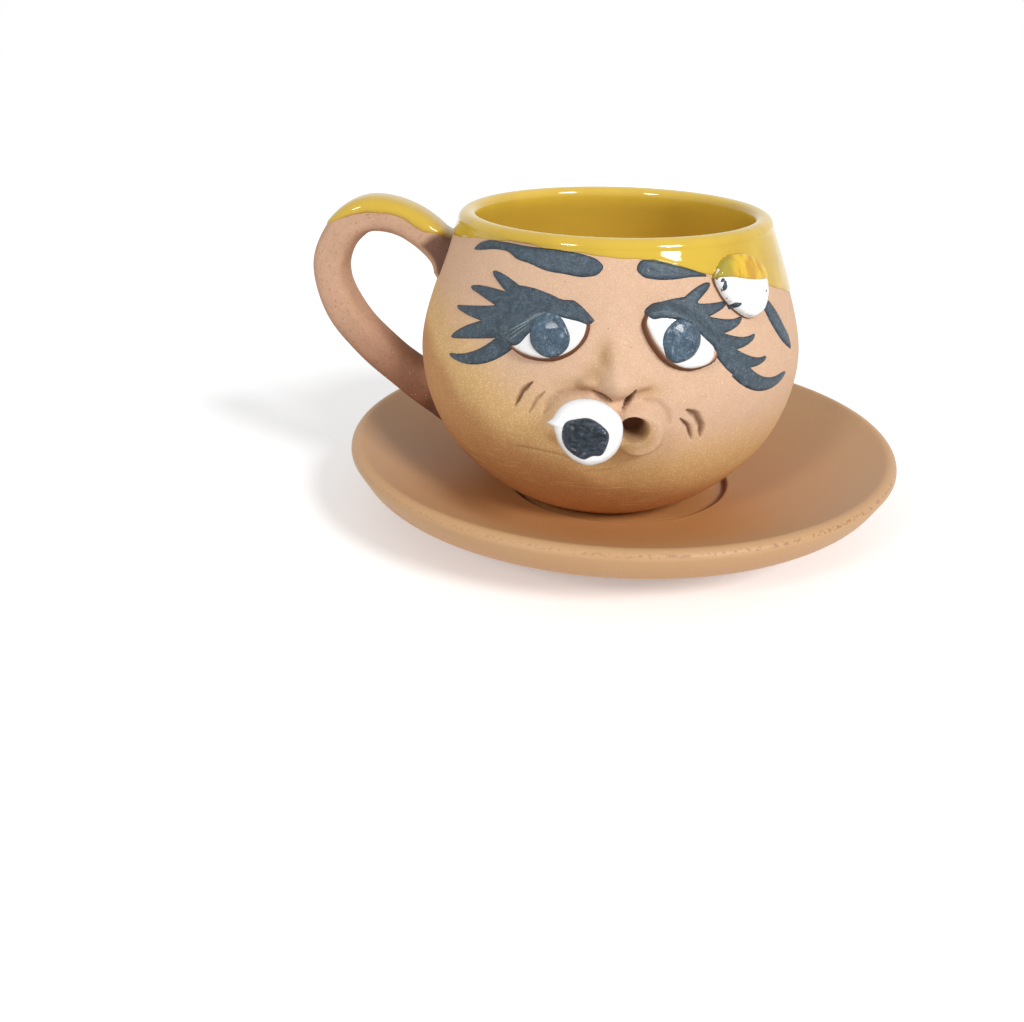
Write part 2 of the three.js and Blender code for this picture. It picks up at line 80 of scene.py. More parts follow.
class Slot(Enum):
    """The record's material slots."""

    TERRACOTTA = "terracotta"
    SAUCER_CLAY = "saucer_clay"
    HONEY_GLAZE = "honey_glaze"
    WHITE_SLIP = "white_slip"
    DARK_SLIP = "dark_slip"


class Side(Enum):
    """The viewer's left and right side of the face."""

    LEFT = "left"
    RIGHT = "right"


# Node trees, written as expressions


class Value:
    """The result of a node. Arithmetic on a number adds Math nodes."""

    def __init__(self, tree: Tree, socket: bpy.types.NodeSocket | None) -> None:
        """Wraps an output socket of a tree's node, or nothing for a node that ends its tree."""
        self.tree = tree
        self.socket = socket

    def math(self, operation: str, *others: Operand, first: Operand | None = None) -> Value:
        """Adds a Math node on this and others, with first before them in the reflected forms."""
        operands = [self, *others] if first is None else [first, self, *others]
        return self.tree.node("ShaderNodeMath", {"operation": operation}, dict(enumerate(operands)))

    def __add__(self, other: Operand) -> Value:
        """Sum."""
        return self.math("ADD", other)

    def __sub__(self, other: Operand) -> Value:
        """Difference."""
        return self.math("SUBTRACT", other)

    def __rsub__(self, other: Operand) -> Value:
        """Difference, reflected."""
        return self.math("SUBTRACT", first=other)

    def __mul__(self, other: Operand) -> Value:
        """Product."""
        return self.math("MULTIPLY", other)

    __radd__ = __add__
    __rmul__ = __mul__

    def __lt__(self, other: Operand) -> Value:
        """1 where this is less, otherwise 0."""
        return self.math("LESS_THAN", other)

    def __gt__(self, other: Operand) -> Value:
        """1 where this is greater, otherwise 0."""
        return self.math("GREATER_THAN", other)

    def swing(self) -> Value:
        """How far noise is from its middle."""
        return self - 0.5

    def ease(self, low: float, high: float) -> Value:
        """Rises smoothly from 0 to 1 as this goes from low to high."""
        settings = {"interpolation_type": "SMOOTHSTEP"}
        return self.tree.node("ShaderNodeMapRange", settings, {"Value": self, 1: low, 2: high})


Operand = Value | float
Tint = Value | Colour


class Tree:
    """A node tree."""

    def __init__(self, tree: bpy.types.NodeTree) -> None:
        """Takes the tree and empties it."""
        self.tree = tree
        tree.nodes.clear()

    def node(
        self,
        kind: str,
        settings: dict[str, object],
        inputs: dict[str | int, object],
        output: str | int | None = 0,
    ) -> Value:
        """Adds a node.

        Args:
            kind: The node's type.
            settings: Its properties, set first.
            inputs: Values or links of its sockets, by name or index.
            output: The output that is wanted, by name or index, or None for a node that ends the tree.

        Returns:
            That output.
        """
        node = self.tree.nodes.new(kind)
        for key, setting in settings.items():
            setattr(node, key, setting)
        for key, given in inputs.items():
            if isinstance(given, Value):
                self.tree.links.new(given.socket, node.inputs[key])
            elif isinstance(given, tuple) and node.inputs[key].type == "RGBA":
                node.inputs[key].default_value = (*given, 1.0)
            else:
                node.inputs[key].default_value = given
        return Value(self, None if output is None else node.outputs[output])


class Shader(Tree):
    """The node tree of a material or of the world."""

    def __init__(self, owner: Material | bpy.types.World) -> None:
        """Starts the owner's tree afresh."""
        owner.use_nodes = True
        super().__init__(owner.node_tree)
        self.owner = owner

    @classmethod
    def of_material(cls, name: str) -> Shader:
        """Starts a new material of that name."""
        return cls(bpy.data.materials.new(name))

    @cached_property
    def coords(self) -> Value:
        """Places in the object's own frame, in metres."""
        return self.node("ShaderNodeTexCoord", {}, {}, "Object")

    def noise(self, size: float, detail: float = 2.0, stretch: Stretch = (1.0, 1.0, 1.0)) -> Value:
        """Smooth noise from about 0.3 to 0.7.

        Args:
            size: The size of its features in millimetres.
            detail: How many finer layers it has.
            stretch: Scale of the coordinates along X, Y and Z.

        Returns:
            The noise.
        """
        scaled = self.node("ShaderNodeMapping", {}, {"Vector": self.coords, "Scale": stretch})
        inputs = {"Vector": scaled, "Scale": 1 / (size * MM), "Detail": detail}
        return self.node("ShaderNodeTexNoise", {}, inputs)

    def lines(self, across: tuple[str, str], wide: float, along: str, long: float) -> Value:
        """Noise drawn out into lines over three numbers stored on the mesh.

        Args:
            across: The two numbers that run across the lines.
            wide: A line's width in their unit.
            along: The number that runs along the lines.
            long: A line's length in that number's unit.

        Returns:
            The noise.
        """
        first, second = (self.attribute(name) * (1 / wide) for name in across)
        third = self.attribute(along) * (1 / long)
        spot = self.node("ShaderNodeCombineXYZ", {}, {"X": first, "Y": second, "Z": third})
        return self.node("ShaderNodeTexNoise", {}, {"Vector": spot, "Scale": 1.0, "Detail": 2.0})

    def flecks(self, size: float, share: float, radius: float) -> Value:
        """Scattered round flecks.

        Args:
            size: The size in millimetres of the cells that may hold a fleck.
            share: The share of the cells that hold one.
            radius: A fleck's radius as a share of its cell.

        Returns:
            1 inside a fleck, otherwise 0.
        """
        inputs = {"Vector": self.coords, "Scale": 1 / (size * MM)}
        distance = self.node("ShaderNodeTexVoronoi", {}, inputs, "Distance")
        colour = self.node("ShaderNodeTexVoronoi", {}, inputs, "Color")
        chance = self.node("ShaderNodeSeparateColor", {}, {"Color": colour}, "Red")
        return (distance < radius) * (chance < share)

    def attribute(self, name: str) -> Value:
        """A number stored on the mesh."""
        return self.node("ShaderNodeAttribute", {"attribute_name": name}, {}, "Fac")

    def along(self, axis: str) -> Value:
        """Place along X, Y or Z in millimetres."""
        return self.node("ShaderNodeSeparateXYZ", {}, {"Vector": self.coords}, axis) * (1 / MM)

    def seen(self) -> Value:
        """1 for rays from the camera and for mirrored and refracted ones, otherwise 0."""
        camera, mirrored, refracted = (
            self.node("ShaderNodeLightPath", {}, {}, f"Is {kind} Ray")
            for kind in ("Camera", "Glossy", "Transmission")
        )
        return camera.math("MAXIMUM", mirrored).math("MAXIMUM", refracted)

    def mix(self, share: Operand, first: Tint, second: Tint, blend: str = "MIX") -> Value:
        """Mixes two colours, with share as how much of the second there is."""
        settings = {"data_type": "RGBA", "blend_type": blend}
        return self.node("ShaderNodeMix", settings, {0: share, 6: first, 7: second}, 2)

    def shade(self, colour: Tint, amount: Value) -> Value:
        """Makes a colour lighter or darker by a factor."""
        grey = self.node("ShaderNodeCombineColor", {}, {0: amount, 1: amount, 2: amount})
        return self.mix(1.0, colour, grey, "MULTIPLY")

    def bump(self, height: Value, depth: float) -> Value:
        """A normal for relief of a given depth in millimetres."""
        return self.node("ShaderNodeBump", {}, {"Height": height, "Strength": 1.0, "Distance": depth * MM})

    def finish(self, colour: Tint, roughness: Operand, normal: Value, **others: Operand) -> Material:
        """Ends the tree in a Principled shader.

        Args:
            colour: Base colour.
            roughness: Roughness.
            normal: Normal with the surface's fine relief.
            others: Other sockets, with _ for a space in the name.

        Returns:
            The material.
        """
        inputs = {"Base Color": colour, "Roughness": roughness, "Normal": normal}
        inputs |= {key.replace("_", " "): value for key, value in others.items()}
        surface = self.node("ShaderNodeBsdfPrincipled", {}, inputs)
        self.node("ShaderNodeOutputMaterial", {}, {"Surface": surface}, None)
        return self.owner


# Finishes


@dataclass(frozen=True)
class ClayFinish:
    """Bare fired clay: brown low down, golden with mica, then pale, with grain and painted shade in hollows.

    Sizes and heights are in millimetres, with heights above the table. The zones of colour are partly the
    clay's own and partly painted shade and painted warm bounce light: darker low down, and leaning across by
    the shade tilt so that the viewer's left is darker. They fall away at the sides by bow and stray by drift.
    Pulled clay has fine dark specks along it, and worn clay has dark chips along its edge.
    """

    name: str
    high: Colour
    band: Colour
    low: Colour
    hollow: Colour
    glint: Colour
    low_height: float
    band_height: float
    high_height: float
    stain: Colour | None = None
    shade_tilt: float = 0.0
    bow: float = 0.0
    drift: float = 9.0
    mottle: float = 0.14
    grain: float = 0.32
    grain_tone: float = 0.34
    grain_depth: float = 0.05
    speck_tone: float = 0.3
    glint_share: float = 0.5
    glint_tone: float = 0.75
    glint_low: float = 0.4
    glint_high: float = 0.35
    glint_polish: float = 0.35
    ring_size: float = 0.36
    ring_depth: float = 0.0
    ring_tone: float = 0.26
    roughness: float = 0.8
    unevenness: float = 0.1
    sheen: float = 0.3
    worn: float = 0.0
    pulled: float = 0.0

    def material(self) -> Material:
        """Builds the material."""
        shader = Shader.of_material(self.name)
        height, sideways = shader.along("Z"), shader.along("X")
        patches = shader.noise(size=16.0, detail=3.0)
        mottle = shader.noise(size=2.6, detail=3.0)
        grain = shader.noise(size=self.grain)
        hollow = shader.attribute("hollow")
        # Zones by height: partly the clay's own colours, partly painted shade and painted warm bounce low
        # down; the lean across the cup darkens the viewer's left as painted shade.
        level = height + sideways * self.shade_tilt - sideways * sideways * self.bow + patches.swing() * self.drift
        golden = level.ease(self.low_height, self.band_height)
        upper = level.ease(self.band_height, self.high_height)
        tone = 1.0 + mottle.swing() * self.mottle + grain.swing() * self.grain_tone
        colour = shader.shade(shader.mix(upper, shader.mix(golden, self.low, self.band), self.high), tone)
        # Painted shade round the nose and the mouth, as a brown tint.
        if self.stain:
            colour = shader.mix(shader.attribute("stain"), colour, self.stain)
        specks = shader.flecks(size=1.9, share=0.1, radius=0.1)
        colour = shader.mix(specks * self.speck_tone, colour, self.hollow)
        if self.pulled:
            lines = shader.lines(("outward", "frontward"), wide=0.22, along="along", long=0.9)
            colour = shader.mix(lines.ease(low=0.58, high=0.74) * self.pulled, colour, self.hollow)
        if self.worn:
            chips = shader.noise(size=0.8, stretch=(1.0, 1.0, 1.6)).ease(low=0.52, high=0.58)
            colour = shader.mix(shader.attribute("edge") * chips * self.worn, colour, self.hollow)
        # Painted shade: the hollow number darkens cuts, the mouth's hole, the sides of pellets, the handle's
        # lower join and the well's step. In the cuts it is partly the clay's own darker colour, and on the
        # handle it also holds the burnt root.
        colour = shader.mix(hollow, colour, self.hollow)
        # Mica flecks painted bright: painted glints.
        shown = (1.0 - upper * (1.0 - self.glint_high)) * (self.glint_low + golden * (1.0 - self.glint_low))
        dust = shader.flecks(size=0.27, share=self.glint_share, radius=0.3) * shown
        grit = shader.flecks(size=0.8, share=self.glint_share / 4, radius=0.12)
        glints = dust.math("MAXIMUM", grit)
        colour = shader.mix(glints * (1.0 - hollow) * self.glint_tone, colour, self.glint)
        relief = grain
        if self.ring_depth:
            rings = shader.noise(size=self.ring_size, stretch=(0.06, 0.06, 1.0))
            low_down = 1.0 - height.ease(low=16.0, high=24.0)
            where = shader.noise(size=9.0).ease(low=0.40, high=0.58) * low_down
            lines = rings.ease(low=0.55, high=0.70) * where
            colour = shader.mix(lines * self.ring_tone, colour, self.glint)
            relief = relief + rings * where * (self.ring_depth / self.grain_depth)
        roughness = self.roughness - glints * self.glint_polish + mottle.swing() * self.unevenness
        normal = shader.bump(relief, self.grain_depth)
        return shader.finish(colour, roughness, normal, Specular_IOR_Level=self.sheen)


@dataclass(frozen=True)
class SlipFinish:
    """Brushed slip: a dense colour with brush marks, patches of fine flecks and perhaps a darker edge.

    Sizes and depths are in millimetres. The brush marks are scaled along X, Y and Z by lay.
    """

    name: str
    colour: Colour
    fleck: Colour
    edge: Colour | None = None
    edge_share: float = 0.5
    fleck_share: float = 0.3
    fleck_tone: float = 0.4
    fleck_polish: float = 0.15
    blotch_tone: float = 2.0
    blotch_rise: float = 1.6
    streak: float = 0.35
    roughness: float = 0.45
    unevenness: float = 0.3
    bristle: float = 0.6
    bristle_depth: float = 0.05
    lay: Stretch = (0.4, 1.0, 1.0)
    detail: float = 2.0
    grit: float = 0.3
    speckle: float = 3.0
    strokes: float = 0.1
    sheen: float = 0.3
    coat: float = 0.0

    def material(self) -> Material:
        """Builds the material."""
        shader = Shader.of_material(self.name)
        blotches = shader.noise(size=1.6, detail=self.detail)
        bristles = shader.noise(self.bristle, self.detail, self.lay)
        grain = shader.noise(size=0.2, detail=1.0)
        patches = 0.3 + shader.noise(size=4.0).ease(low=0.42, high=0.6)
        flecks = shader.flecks(size=0.2, share=self.fleck_share, radius=0.3) * patches
        marks = blotches.swing() * self.blotch_tone + bristles.swing() + grain.swing() * self.speckle
        colour = self.colour
        if self.edge:
            colour = shader.mix(shader.attribute("edge") * self.edge_share, colour, self.edge)
        colour = shader.shade(colour, 1.0 + marks * self.streak)
        # Lighter along the brush ridges: partly the slip's own streaks, partly painted highlight on the
        # ridges.
        colour = shader.mix(bristles.ease(low=0.52, high=0.74) * self.strokes, colour, self.fleck)
        colour = shader.mix(flecks * self.fleck_tone, colour, self.fleck)
        roughness = self.roughness + blotches.swing() * self.unevenness - flecks * self.fleck_polish
        relief = bristles + blotches * self.blotch_rise + grain * self.grit
        return shader.finish(
            colour, roughness, shader.bump(relief, self.bristle_depth),
            Specular_IOR_Level=self.sheen, Coat_Weight=self.coat, Coat_Roughness=0.1,
        )


@dataclass(frozen=True)
class GlazeFinish:
    """A glossy glaze, painted lighter inside the cup as painted light, and of another colour over what marks
    it from below.
    """

    name: str
    thick: Colour
    thin: Colour
    marked: Colour
    inside: Colour | None = None
    inside_share: float = 0.8
    streak: float = 2.4
    streak_share: float = 0.12
    streak_rise: float = 0.25
    pinhole_tone: float = 0.5
    roughness: float = 0.07
    unevenness: float = 0.05

    def material(self) -> Material:
        """Builds the material."""
        shader = Shader.of_material(self.name)
        clouds = shader.noise(size=11.0, detail=3.0)
        streaks = shader.noise(size=self.streak, stretch=(1.0, 1.0, 0.12))
        thickness = (clouds + streaks.swing() * self.streak_share).ease(low=0.36, high=0.66)
        colour = shader.mix(thickness, self.thin, self.thick)
        # Inside the cup the glaze is painted lighter: painted light.
        if self.inside:
            colour = shader.mix(shader.attribute("inner") * self.inside_share, colour, self.inside)
        colour = shader.mix(shader.attribute("marked"), colour, self.marked)
        pinholes = shader.flecks(size=2.2, share=0.05, radius=0.06)
        colour = shader.shade(colour, 1.0 - pinholes * self.pinhole_tone)
        roughness = self.roughness + clouds.swing() * self.unevenness
        return shader.finish(
            colour, roughness, shader.bump(clouds + streaks * self.streak_rise, depth=0.12),
            Specular_IOR_Level=0.4, Coat_Weight=0.15, Coat_Roughness=0.04,
        )


class Finishes:
    """The finishes of the set, one material each."""

    def __init__(self) -> None:
        """Builds every material once."""
        self.clay = ClayFinish(
            "terracotta_wall", high=(0.68, 0.445, 0.30), band=(0.70, 0.44, 0.188), low=(0.53, 0.27, 0.106),
            hollow=(0.13, 0.044, 0.016), stain=(0.43, 0.245, 0.085), glint=(1.0, 0.82, 0.50),
            low_height=13.0, band_height=20.0, high_height=33.5, shade_tilt=0.27, bow=0.0085,
            glint_share=0.6, ring_depth=0.04,
        ).material()
        # The handle is painted darker towards its lower end: painted shade.
        root = (0.27, 0.108, 0.055)
        self.handle = ClayFinish(
            "terracotta_handle", high=(0.555, 0.34, 0.225), band=root, low=root, hollow=(0.07, 0.02, 0.013),
            glint=(0.95, 0.75, 0.50), low_height=10.0, band_height=17.0, high_height=47.0,
            mottle=0.22, glint_share=0.03, pulled=0.45,
        ).material()
        dish = (0.565, 0.268, 0.096)
        self.plate = ClayFinish(
            "saucer_clay", high=(0.54, 0.315, 0.152), band=dish, low=dish, hollow=(0.17, 0.06, 0.03),
            glint=(0.85, 0.62, 0.38), low_height=1.0, band_height=3.0, high_height=14.0, drift=3.0,
            mottle=0.06, grain=0.3, grain_tone=0.08, grain_depth=0.01, glint_share=0.06,
            roughness=0.47, sheen=0.45, worn=0.7,
        ).material()
        self.dark = SlipFinish(
            "dark_slip", colour=(0.055, 0.080, 0.103), fleck=(0.34, 0.42, 0.48), edge=(0.020, 0.028, 0.040),
            fleck_share=0.4, streak=0.5, bristle_depth=0.12,
        ).material()
        self.iris = SlipFinish(
            "dark_slip_iris", colour=(0.048, 0.088, 0.13), fleck=(0.34, 0.43, 0.52),
            streak=0.7, roughness=0.3, bristle=0.9, bristle_depth=0.5, lay=(1.0, 1.0, 0.4),
            grit=0.05, speckle=0.8, strokes=0.4, coat=0.4,
        ).material()
        self.tip = SlipFinish(
            "dark_slip_tip", colour=(0.014, 0.024, 0.038), fleck=(0.16, 0.21, 0.26), fleck_share=0.0,
            streak=0.4, roughness=0.22, bristle=1.7, bristle_depth=1.7, detail=1.0, grit=0.0, speckle=0.0,
            strokes=0.35, coat=0.3,
        ).material()
        self.white = SlipFinish(
            "white_slip", colour=(0.84, 0.84, 0.83), fleck=(0.90, 0.90, 0.89), fleck_share=0.05,
            streak=0.05, roughness=0.28, bristle_depth=0.06, coat=0.5,
        ).material()
        self.wash = SlipFinish(
            "white_slip_streaked", colour=(0.26, 0.30, 0.30), fleck=(0.4, 0.44, 0.44), fleck_share=0.05,
            streak=0.9, bristle_depth=0.06,
        ).material()
        self.glaze = GlazeFinish(
            "honey_glaze", thick=(0.57, 0.365, 0.022), thin=(0.66, 0.44, 0.035),
            marked=(0.075, 0.085, 0.025), inside=(0.80, 0.55, 0.08),
        ).material()
        self.handle_glaze = GlazeFinish(
            "honey_glaze_on_handle", thick=(0.50, 0.31, 0.02), thin=(0.60, 0.395, 0.035),
            marked=(0.085, 0.026, 0.016),
        ).material()
        # The disc glaze's marked colour is dark and greenish: partly over the brow's end, partly a painted
        # reflection.
        self.disc_glaze = GlazeFinish(
            "honey_glaze_on_white", thick=(0.60, 0.31, 0.01), thin=(0.76, 0.50, 0.025),
            marked=(0.36, 0.29, 0.03), streak=1.4, streak_share=1.2,
        ).material()


# Small geometry tools


def ease(low: float, high: float, at: Array) -> Array:
    """Rises smoothly from 0 to 1 as at goes from low to high, or from high down to low."""
    share = np.clip((at - low) / (high - low), 0.0, 1.0)
    return share * share * (3.0 - 2.0 * share)


def mound(across: Array, drop: Array, middle: Place, wide: float, tall: float) -> Array:
    """A bell-shaped mound of height 1 at a place."""
    x = (across - middle[0]) / wide
    y = (drop - middle[1]) / tall
    return np.exp(-0.5 * (x * x + y * y))


def curve(start: Array, pull: Array, end: Array, t: Array) -> Array:
    """A curve from start to end that is drawn towards pull, at shares t of the way."""
    return start * (1 - t) ** 2 + 2 * pull * t * (1 - t) + end * t * t


def segment_gap(points: Array, start: Array, end: Array) -> tuple[Array, Array]:
    """Distance of points from straight segments.

    Args:
        points: Points, one a row.
        start: Each segment's start, one a row.
        end: Each segment's end, one a row.

    Returns:
        For each point the distance to the nearest segment, and that segment's index.
    """
    way = end - start
    length = np.maximum((way * way).sum(1), TINY)
    from_start = points[:, None, :] - start[None]
    share = np.clip((from_start * way[None]).sum(2) / length, 0.0, 1.0)
    gap = np.linalg.norm(from_start - share[..., None] * way[None], axis=2)
    nearest = gap.argmin(1)
    return gap[np.arange(len(points)), nearest], nearest


def inside(points: Array, loop: Array) -> Array:
    """Whether points lie inside a closed polygon."""
    x, y = points[:, 0][:, None], points[:, 1][:, None]
    ax, ay = loop[:, 0][None], loop[:, 1][None]
    bx, by = np.roll(loop[:, 0], -1)[None], np.roll(loop[:, 1], -1)[None]
    crosses = (ay > y) != (by > y)
    rise = np.where(by == ay, TINY, by - ay)
    return ((crosses & (x < ax + (y - ay) * (bx - ax) / rise)).sum(1) % 2) == 1


def steps_between(low: float, high: float, spacing: float) -> Array:
    """Even steps from low up to, but without, high."""
    count = max(1, math.ceil((high - low) / spacing))
    return np.linspace(low, high, count, endpoint=False)


def closed_rings(rings: Sequence[Array], ends: Sequence[Array]) -> tuple[Array, list[tuple[int, ...]]]:
    """Skins a body over rings and closes it at two end points.

    Args:
        rings: Rings of as many points each.
        ends: The end points, before the first and after the last ring.

    Returns:
        The body's points, and its faces as indexes of points.
    """
    columns = len(rings[0])
    points = np.concatenate([*rings, np.array(ends)])
    first, last = len(points) - 2, len(points) - 1
    sides = [(column, (column + 1) % columns) for column in range(columns)]
    starts = [row * columns for row in range(len(rings))]
    faces = [
        (low + a, low + b, high + b, high + a)
        for low, high in zip(starts, starts[1:])
        for a, b in sides
    ]
    for a, b in sides:
        faces += [(first, b, a), (last, starts[-1] + a, starts[-1] + b)]
    return points, faces


def build_mesh(name: str, points: Array, faces: Sequence[Sequence[int]], **numbers: Array) -> Mesh:
    """Makes a smooth mesh with its faces pointing outwards.

    Args:
        name: The mesh's name.
        points: Its points in millimetres.
        faces: Its faces, as indexes of points.
        numbers: Numbers stored on its points.

    Returns:
        The mesh, in metres.
    """
    mesh = bpy.data.meshes.new(name)
    mesh.from_pydata((points * MM).tolist(), [], [list(face) for face in faces])
    for key, values in numbers.items():
        stored = mesh.attributes.new(key, "FLOAT", "POINT")
        stored.data.foreach_set("value", np.asarray(values, np.float32))
    form = bmesh.new()
    form.from_mesh(mesh)
    bmesh.ops.recalc_face_normals(form, faces=form.faces)
    form.to_mesh(mesh)
    form.free()
    mesh.shade_smooth()
    mesh.update()
    return mesh


def add_object(name: str, data: bpy.types.ID) -> bpy.types.Object:
    """Puts a new object with that data into the scene."""
    thing = bpy.data.objects.new(name, data)
    bpy.context.scene.collection.objects.link(thing)
    return thing


def add_piece(mesh: Mesh, material: Material, slot: Slot, *nodes: str, body: Body = Body.CUP) -> None:
    """Puts a mesh into the scene as a piece of the same name and ties it to the frame.

    Args:
        mesh: The piece's mesh, in its place.
        material: Its material.
        slot: The record's slot for its finish; it is not used.
        nodes: The nodes of the frame that it stands for.
        body: The body that it rides on.
    """
    mesh.materials.clear()
    mesh.materials.append(material)
    piece = add_object(mesh.name, mesh)
    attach(piece, body.value)
    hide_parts(*nodes)
    triangles = sum(len(face.vertices) - 2 for face in mesh.polygons)
    LOG.info("%s: %d triangles, stands for %s", piece.name, triangles, ", ".join(nodes))


# Outlines and strokes on a surface


@dataclass(frozen=True)
class Outline:
    """A closed outline, smooth through its knots apart from its corners."""

    knots: tuple[Place, ...]
    corners: tuple[int, ...] = ()

    def loop(self, spacing: float) -> Array:
        """Draws the outline.

        Args:
            spacing: About how far apart its points are to be.

        Returns:
            The points of a polygon, one a row.
        """
        knots = np.array(self.knots)
        count = len(knots)
        chords = np.roll(knots, -1, 0) - knots
        lengths = np.linalg.norm(chords, axis=1)
        way = chords / lengths[:, None]
        leaving, arriving = [], []
        for i in range(count):
            before = (i - 1) % count
            weight = lengths[i] / (lengths[i] + lengths[before])
            smooth = weight * way[before] + (1 - weight) * way[i]
            leaving.append(way[i] if i in self.corners else smooth)
            arriving.append(way[before] if i in self.corners else smooth)
        points = []
        for i in range(count):
            after = (i + 1) % count
            t = steps_between(0.0, 1.0, spacing / lengths[i])[:, None]
            points.append(
                knots[i] * (1 + 2 * t) * (1 - t) ** 2
                + knots[after] * t * t * (3 - 2 * t)
                + leaving[i] * lengths[i] * t * (1 - t) ** 2
                - arriving[after] * lengths[i] * t * t * (1 - t)
            )
        return np.concatenate(points)


@dataclass(frozen=True)
class Stroke:
    """One pull of the brush: from its root through its middle to its tip, with a width at each."""

    root: Place
    middle: Place
    tip: Place
    widths: tuple[float, float, float]
    tip_round: float = 0.3

    def loop(self, spacing: float) -> Array:
        """Draws the stroke's outline.

        Args:
            spacing: About how far apart its points are to be.

        Returns:
            The points of a polygon, one a row.
        """
        root, middle, tip = (np.array(place) for place in (self.root, self.middle, self.tip))
        pull = 2 * middle - (root + tip) / 2
        length = np.linalg.norm(tip - root)
        t = np.append(steps_between(0.0, 1.0, spacing / length), 1.0)[:, None]
        spine = curve(root, pull, tip, t)
        along = 2 * (pull - root) * (1 - t) + 2 * (tip - pull) * t
        sideways = np.stack([-along[:, 1], along[:, 0]], 1) / np.linalg.norm(along, axis=1)[:, None]
        first, second, third = self.widths
        swell = 2 * second - (first + third) / 2
        half = curve(first, swell, third, t) / 2
        round_end = np.sqrt(np.clip((1 - t) * length / (third + self.tip_round), 0.0, 1.0))
        aside = sideways * half * round_end
        return np.concatenate([spine + aside, (spine - aside)[::-1]])


def oval(middle: Place, wide: float, tall: float, unevenness: float, turn: float) -> Outline:
    """An uneven oval outline, as a brush dabs it.

    Args:
        middle: Its middle.
        wide: Half its width.
        tall: Half its height.
        unevenness: How far it strays, as a share of its size.
        turn: Where round the oval it strays, in radians.

    Returns:
        The outline.
    """
    knot_count = 14
    angles = np.linspace(0.0, 2 * math.pi, knot_count, endpoint=False)
    broad, narrow = np.sin(3 * angles + turn), 0.6 * np.sin(5 * angles + 2 * turn)
    reach = 1 + unevenness * (broad + narrow)
    knots = zip(middle[0] + wide * reach * np.cos(angles), middle[1] + tall * reach * np.sin(angles))
    return Outline(tuple((float(x), float(y)) for x, y in knots))


Ground = Callable[[Array, Array], Array]


@dataclass(frozen=True)
class Fade:
    """A slope along which a coat rises from nothing, from a start in a given direction."""

    start: Place
    way: Place
    reach: float

    def share(self, across: Array, drop: Array) -> Array:
        """How far the coat has risen at places, from 0 to 1."""
        gone = (across - self.start[0]) * self.way[0] + (drop - self.start[1]) * self.way[1]
        return ease(0.0, self.reach, gone)


